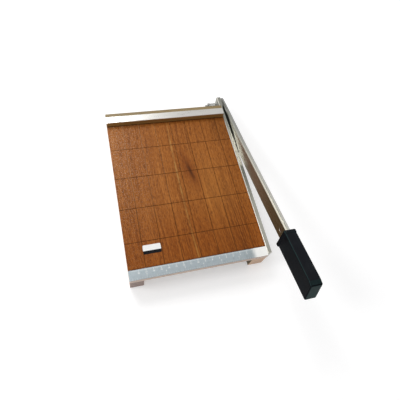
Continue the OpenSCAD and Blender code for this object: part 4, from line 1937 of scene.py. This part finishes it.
@dataclass
class Trimmer:
    """The whole trimmer: the values that its sub-assemblies share, and the order they are built in."""

    rest_lift: float = math.radians(13.4)
    blade_gap: float = 0.2 * MM
    screw_sink: float = 0.8 * MM
    flush_sink: float = 0.2 * MM
    tip_cover: float = 2.0 * MM
    per_runner: int = 3
    per_fence: int = 3
    per_bed_knife: int = 4
    runner_inset: float = 44.0 * MM
    fence_inset: float = 32.0 * MM
    bed_inset: float = 16.0 * MM
    bed_bite: float = 12.0 * MM
    arm_width: float = 5.6 * MM
    arm_screw_head: float = 6.8 * MM
    arm_screw_tip: float = 0.8 * MM
    blade_screw_u: float = 268.3 * MM
    blade_screw_v: float = 4.0 * MM
    handle_screw_u: float = 313.7 * MM
    handle_wall: float = 5.0 * MM
    # How far the painted shade reaches above the bed knife on the blade, and above the pivot on the arm's
    # bevel
    shade_rise: float = 2.6 * MM
    shade_bevel: float = 6.3 * MM
    # Where the bevel's painted shade stops, in front of the pivot
    shade_stop: float = 7.0 * MM
    steel: Finish = BrushedMetal("plain_steel", (0.30, 0.30, 0.275), (0.19, 0.19, 0.175),
                                 brush=(3.0, 3.0, 3.0), stains=(0.2, 0.2, 0.2))

    def __post_init__(self) -> None:
        """Reads the pivot, the board and the bed knife from the frame."""
        self.pivot = Vector(frame["joints"][0]["pos_m"])
        self.board_low, self.board_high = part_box("board")
        self.bed_low, self.bed_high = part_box("bed_knife")
        turn = Matrix.Rotation(-self.rest_lift, 4, "X")
        place = Vector((self.bed_high.x + self.blade_gap, self.pivot.y, self.pivot.z))
        self.arm_seat = Matrix.Translation(place) @ turn
        self.screws = {row.node: row for row in (*self._base_screws(), *self._arm_screws())}

    def build(self) -> None:
        """Builds every sub-assembly in order."""
        self._rules(self._wood())
        self._knife_and_pivot()
        self._arm()
        for row in self.screws.values():
            row.build()

    def _along(self, inset: float, count: int) -> list[float]:
        """Places along the board's length, inset from its ends."""
        return spread(self.board_low.y + inset, self.board_high.y - inset, count)

    def _base_screws(self) -> list[ScrewRow]:
        """The rows of screws that hold the base together.

        Returns:
            The rows.
        """
        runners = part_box("left_runner"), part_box("right_runner")
        base, runner_top = runners[1][0].z, runners[1][1].z
        under_runner = [Vector(((low.x + high.x) / 2, y, base + self.screw_sink))
                        for low, high in runners for y in self._along(self.runner_inset, self.per_runner)]
        runner_length = self.board_high.z - base - self.screw_sink - self.tip_cover
        fence_low, fence_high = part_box("rear_fence")
        under_fence = [Vector((x, (fence_low.y + fence_high.y) / 2, self.board_low.z + self.screw_sink))
                       for x in spread(self.board_low.x + self.fence_inset,
                                       self.board_high.x - self.fence_inset, self.per_fence)]
        fence_length = fence_high.z - self.board_low.z - self.screw_sink - self.tip_cover
        beside_bed = [Vector((self.bed_high.x - self.flush_sink, y, (self.bed_low.z + runner_top) / 2))
                      for y in self._along(self.bed_inset, self.per_bed_knife)]
        bed_length = self.bed_high.x - self.bed_low.x + self.bed_bite - self.flush_sink
        return [
            ScrewRow("runner_screws", Body.BASE, under_runner, UP, runner_length, self.steel),
            ScrewRow("fence_screws", Body.BASE, under_fence, UP, fence_length, self.steel),
            ScrewRow("bed_knife_screws", Body.BASE, beside_bed, LEFT, bed_length, self.steel),
        ]

    def _arm_screws(self) -> list[ScrewRow]:
        """The screw through the blade and the one through the handle.

        Returns:
            The rows, of one screw each.
        """
        out = self.arm_seat.to_3x3() @ RIGHT
        side = self.arm_width + self.handle_wall
        in_blade = self.arm_seat @ Vector((self.flush_sink, -self.blade_screw_u, -self.blade_screw_v))
        in_handle = self.arm_seat @ Vector((side - self.flush_sink, -self.handle_screw_u, 0.0))
        sizes = {"head": self.arm_screw_head, "tip": self.arm_screw_tip}
        return [
            ScrewRow("blade_screw", Body.ARM, [in_blade], out, self.arm_width - 2 * self.flush_sink,
                     self.steel, **sizes),
            ScrewRow("handle_screw", Body.ARM, [in_handle], -out, side - self.flush_sink,
                     self.steel, **sizes),
        ]

    def _wood(self) -> list[float]:
        """Builds the board, the runners and the fence.

        Returns:
            Places of the board's lengthwise grooves.
        """
        near, far = ((y - self.board_low.y) * PER_MM
                     for y in (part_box("front_rule")[1].y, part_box("rear_fence")[0].y))
        along_y, along_x = Grain.ALONG_Y, Grain.ALONG_X
        runner, fence, bed = (self.screws[f"{name}_screws"] for name in ("runner", "fence", "bed_knife"))
        board = RuledBoard(
            VeneerFinish("board_veneer", tuple(self.board_low), near, far),
            GrooveStain("row_stain", (0.115, 0.042, 0.013), (0.095, 0.033, 0.009)),
            GrooveStain("column_stain", (0.34, 0.175, 0.085), (0.110, 0.040, 0.011)),
            PlainWood("edge_wood", (0.70, 0.57, 0.48), (0.55, 0.42, 0.34), along_y),
            PlainWood("side_wood", (0.26, 0.135, 0.062), (0.17, 0.080, 0.034), along_y),
            [runner, fence])
        board.build()
        runner_wood = PlainWood("runner_wood", (0.75, 0.51, 0.35), (0.55, 0.355, 0.23), along_y)
        # Painted shade: the left runner's front end, the right runner's inner side and the fence's front get
        # darker copies of their wood
        shaded_end_wood = PlainWood("runner_end_shaded_wood", (0.33, 0.235, 0.20), (0.23, 0.155, 0.13), along_y)
        shaded_inner_wood = PlainWood("runner_side_shaded_wood", (0.20, 0.145, 0.065), (0.13, 0.092, 0.038), along_y)
        Strip("left_runner", Slot.RUNNER, runner_wood, [runner], shaded_end_wood).build()
        Strip("right_runner", Slot.RUNNER, runner_wood, [runner, bed], shaded_inner_wood, tuple(LEFT)).build()
        fence_wood = PlainWood("fence_wood", (0.335, 0.250, 0.118), (0.190, 0.128, 0.048), along_x,
                               roughness=0.5)
        shaded_front_wood = PlainWood("fence_front_shaded_wood", (0.29, 0.150, 0.036), (0.17, 0.078, 0.014), along_x,
                               roughness=0.6)
        Strip("rear_fence", Slot.FENCE, fence_wood, [fence], shaded_front_wood).build()
        return board.columns

    def _rules(self, columns: list[float]) -> None:
        """Builds the two rules, the front one's marks and the label.

        Args:
            columns: Places of the board's lengthwise grooves.
        """
        along_rule = {"spread": 0.08, "brush": (0.03, 4.0, 4.0)}
        rear_metal = BrushedMetal("rear_rule_metal", (0.69, 0.675, 0.64), (0.58, 0.565, 0.53),
                                  roughness=0.34, stains=(0.02, 0.08, 0.08), **along_rule)
        # The front rule carries a painted white highlight at its right end
        front_metal = HighlightedRule("front_rule_metal", (0.53, 0.60, 0.635), (0.42, 0.49, 0.515),
                                 roughness=0.38, stains=(0.22, 0.25, 0.25), **along_rule)
        MetalRule("rear_rule", Slot.REAR_RULE, rear_metal).build()
        MetalRule("front_rule", Slot.FRONT_RULE, front_metal).build()
        mark_paint = Print("mark_paint", (0.86, 0.88, 0.88), (0.74, 0.76, 0.76), roughness=0.5)
        RuleMarks(mark_paint, columns).build()
        white = Print("label_white", (0.86, 0.86, 0.84), (0.80, 0.80, 0.78), roughness=0.35)
        band = Print("label_band", (0.010, 0.010, 0.012), (0.018, 0.018, 0.020), roughness=0.5, gloss=0.03)
        Label(white, band).build()

    def _knife_and_pivot(self) -> None:
        """Builds the bed knife and the pivot's stack."""
        # The bed knife carries painted shade round the pivot, painted reflections along its top and a painted
        # shadow line along its outer edge
        bed_steel = KnifeSteel("bed_steel", (0.50, 0.49, 0.43), (0.40, 0.39, 0.34),
                               roughness=0.36, spread=0.08, pivot=tuple(self.pivot),
                               gap_shade=(0.26, 0.26, 0.23), share=0.75,
                               edge=(self.bed_high.x * PER_MM, self.bed_high.z * PER_MM))
        rim_steel = BrushedMetal("rim_steel", (0.80, 0.77, 0.69), (0.68, 0.65, 0.57),
                                 roughness=0.34, spread=0.08)
        BedKnife(bed_steel, rim_steel, self.pivot, self.screws["bed_knife_screws"]).build()
        wire = BrushedMetal("spring_wire", (0.26, 0.26, 0.23), (0.15, 0.15, 0.13),
                            roughness=0.28, spread=0.08, brush=(0.5, 3.0, 3.0))
        PivotStack(self.pivot, self.steel, wire).build()

    def _arm(self) -> None:
        """Builds the blade, its bar and the handle."""
        on_arm = {"turn": self.rest_lift, "pivot": tuple(self.pivot)}
        # The blade carries painted shade below the bed knife's top near the pivot; its far colour is a
        # painted reflection that darkens it towards the handle
        blade_steel = GapShadedMetal(
            "blade_steel", (0.33, 0.335, 0.285), (0.27, 0.275, 0.23), roughness=0.32, spread=0.06,
            metallic=0.82, gap_shade=(0.006, 0.007, 0.005), share=0.97, inner_reach=82.0, outer_reach=112.0,
            shade_top=(self.bed_high.z + self.shade_rise) * PER_MM, shade_top_border=1.0,
            far_colour=(0.15, 0.155, 0.085), far_share=0.9, **on_arm)
        # The ground bevel carries painted shade near the pivot, stopping in front of it
        ground_steel = GapShadedMetal(
            "ground_steel", (0.40, 0.40, 0.36), (0.33, 0.33, 0.30), roughness=0.34, spread=0.08,
            gap_shade=(0.01, 0.01, 0.008), share=0.97, shade_top=(self.pivot.z + self.shade_bevel) * PER_MM,
            shade_top_rise=math.sin(self.rest_lift), shade_top_border=0.8,
            unshaded_from=(self.pivot.y - self.shade_stop) * PER_MM,
            far_colour=(0.82, 0.78, 0.67), far_share=1.0, far_start=0.0, far_end=300.0, **on_arm)
        bar_steel = GapShadedMetal(
            "bar_steel", (0.34, 0.34, 0.32), (0.29, 0.29, 0.27), roughness=0.36, share=0.0,
            far_colour=(0.58, 0.565, 0.52), far_share=1.0, far_start=0.0, far_end=200.0, **on_arm)
        BladeArm(blade_steel, ground_steel, bar_steel).build()
        # The top plastic is a lighter copy for painted light; the worn plastic is wear on the end and a
        # painted highlight on the upper edges
        Handle(MouldedPlastic("handle_plastic", (0.0042, 0.0050, 0.0066), (0.0066, 0.0084, 0.0105),
                              gloss=0.015),
               MouldedPlastic("lit_top_plastic", (0.0092, 0.0100, 0.0125), (0.0118, 0.0134, 0.0160)),
               MouldedPlastic("facet_plastic", (0.010, 0.018, 0.019), (0.015, 0.026, 0.027), roughness=0.40),
               MouldedPlastic("worn_and_highlight_plastic", (0.014, 0.030, 0.030), (0.022, 0.045, 0.044), roughness=0.42),
               self.arm_seat, self.screws["handle_screw"]).build()


def main() -> None:
    """Builds the trimmer and its studio."""
    logging.basicConfig(level=logging.INFO, format="%(name)s: %(message)s")
    Trimmer().build()
    Studio().build()


if __name__ == "__main__":
    main()
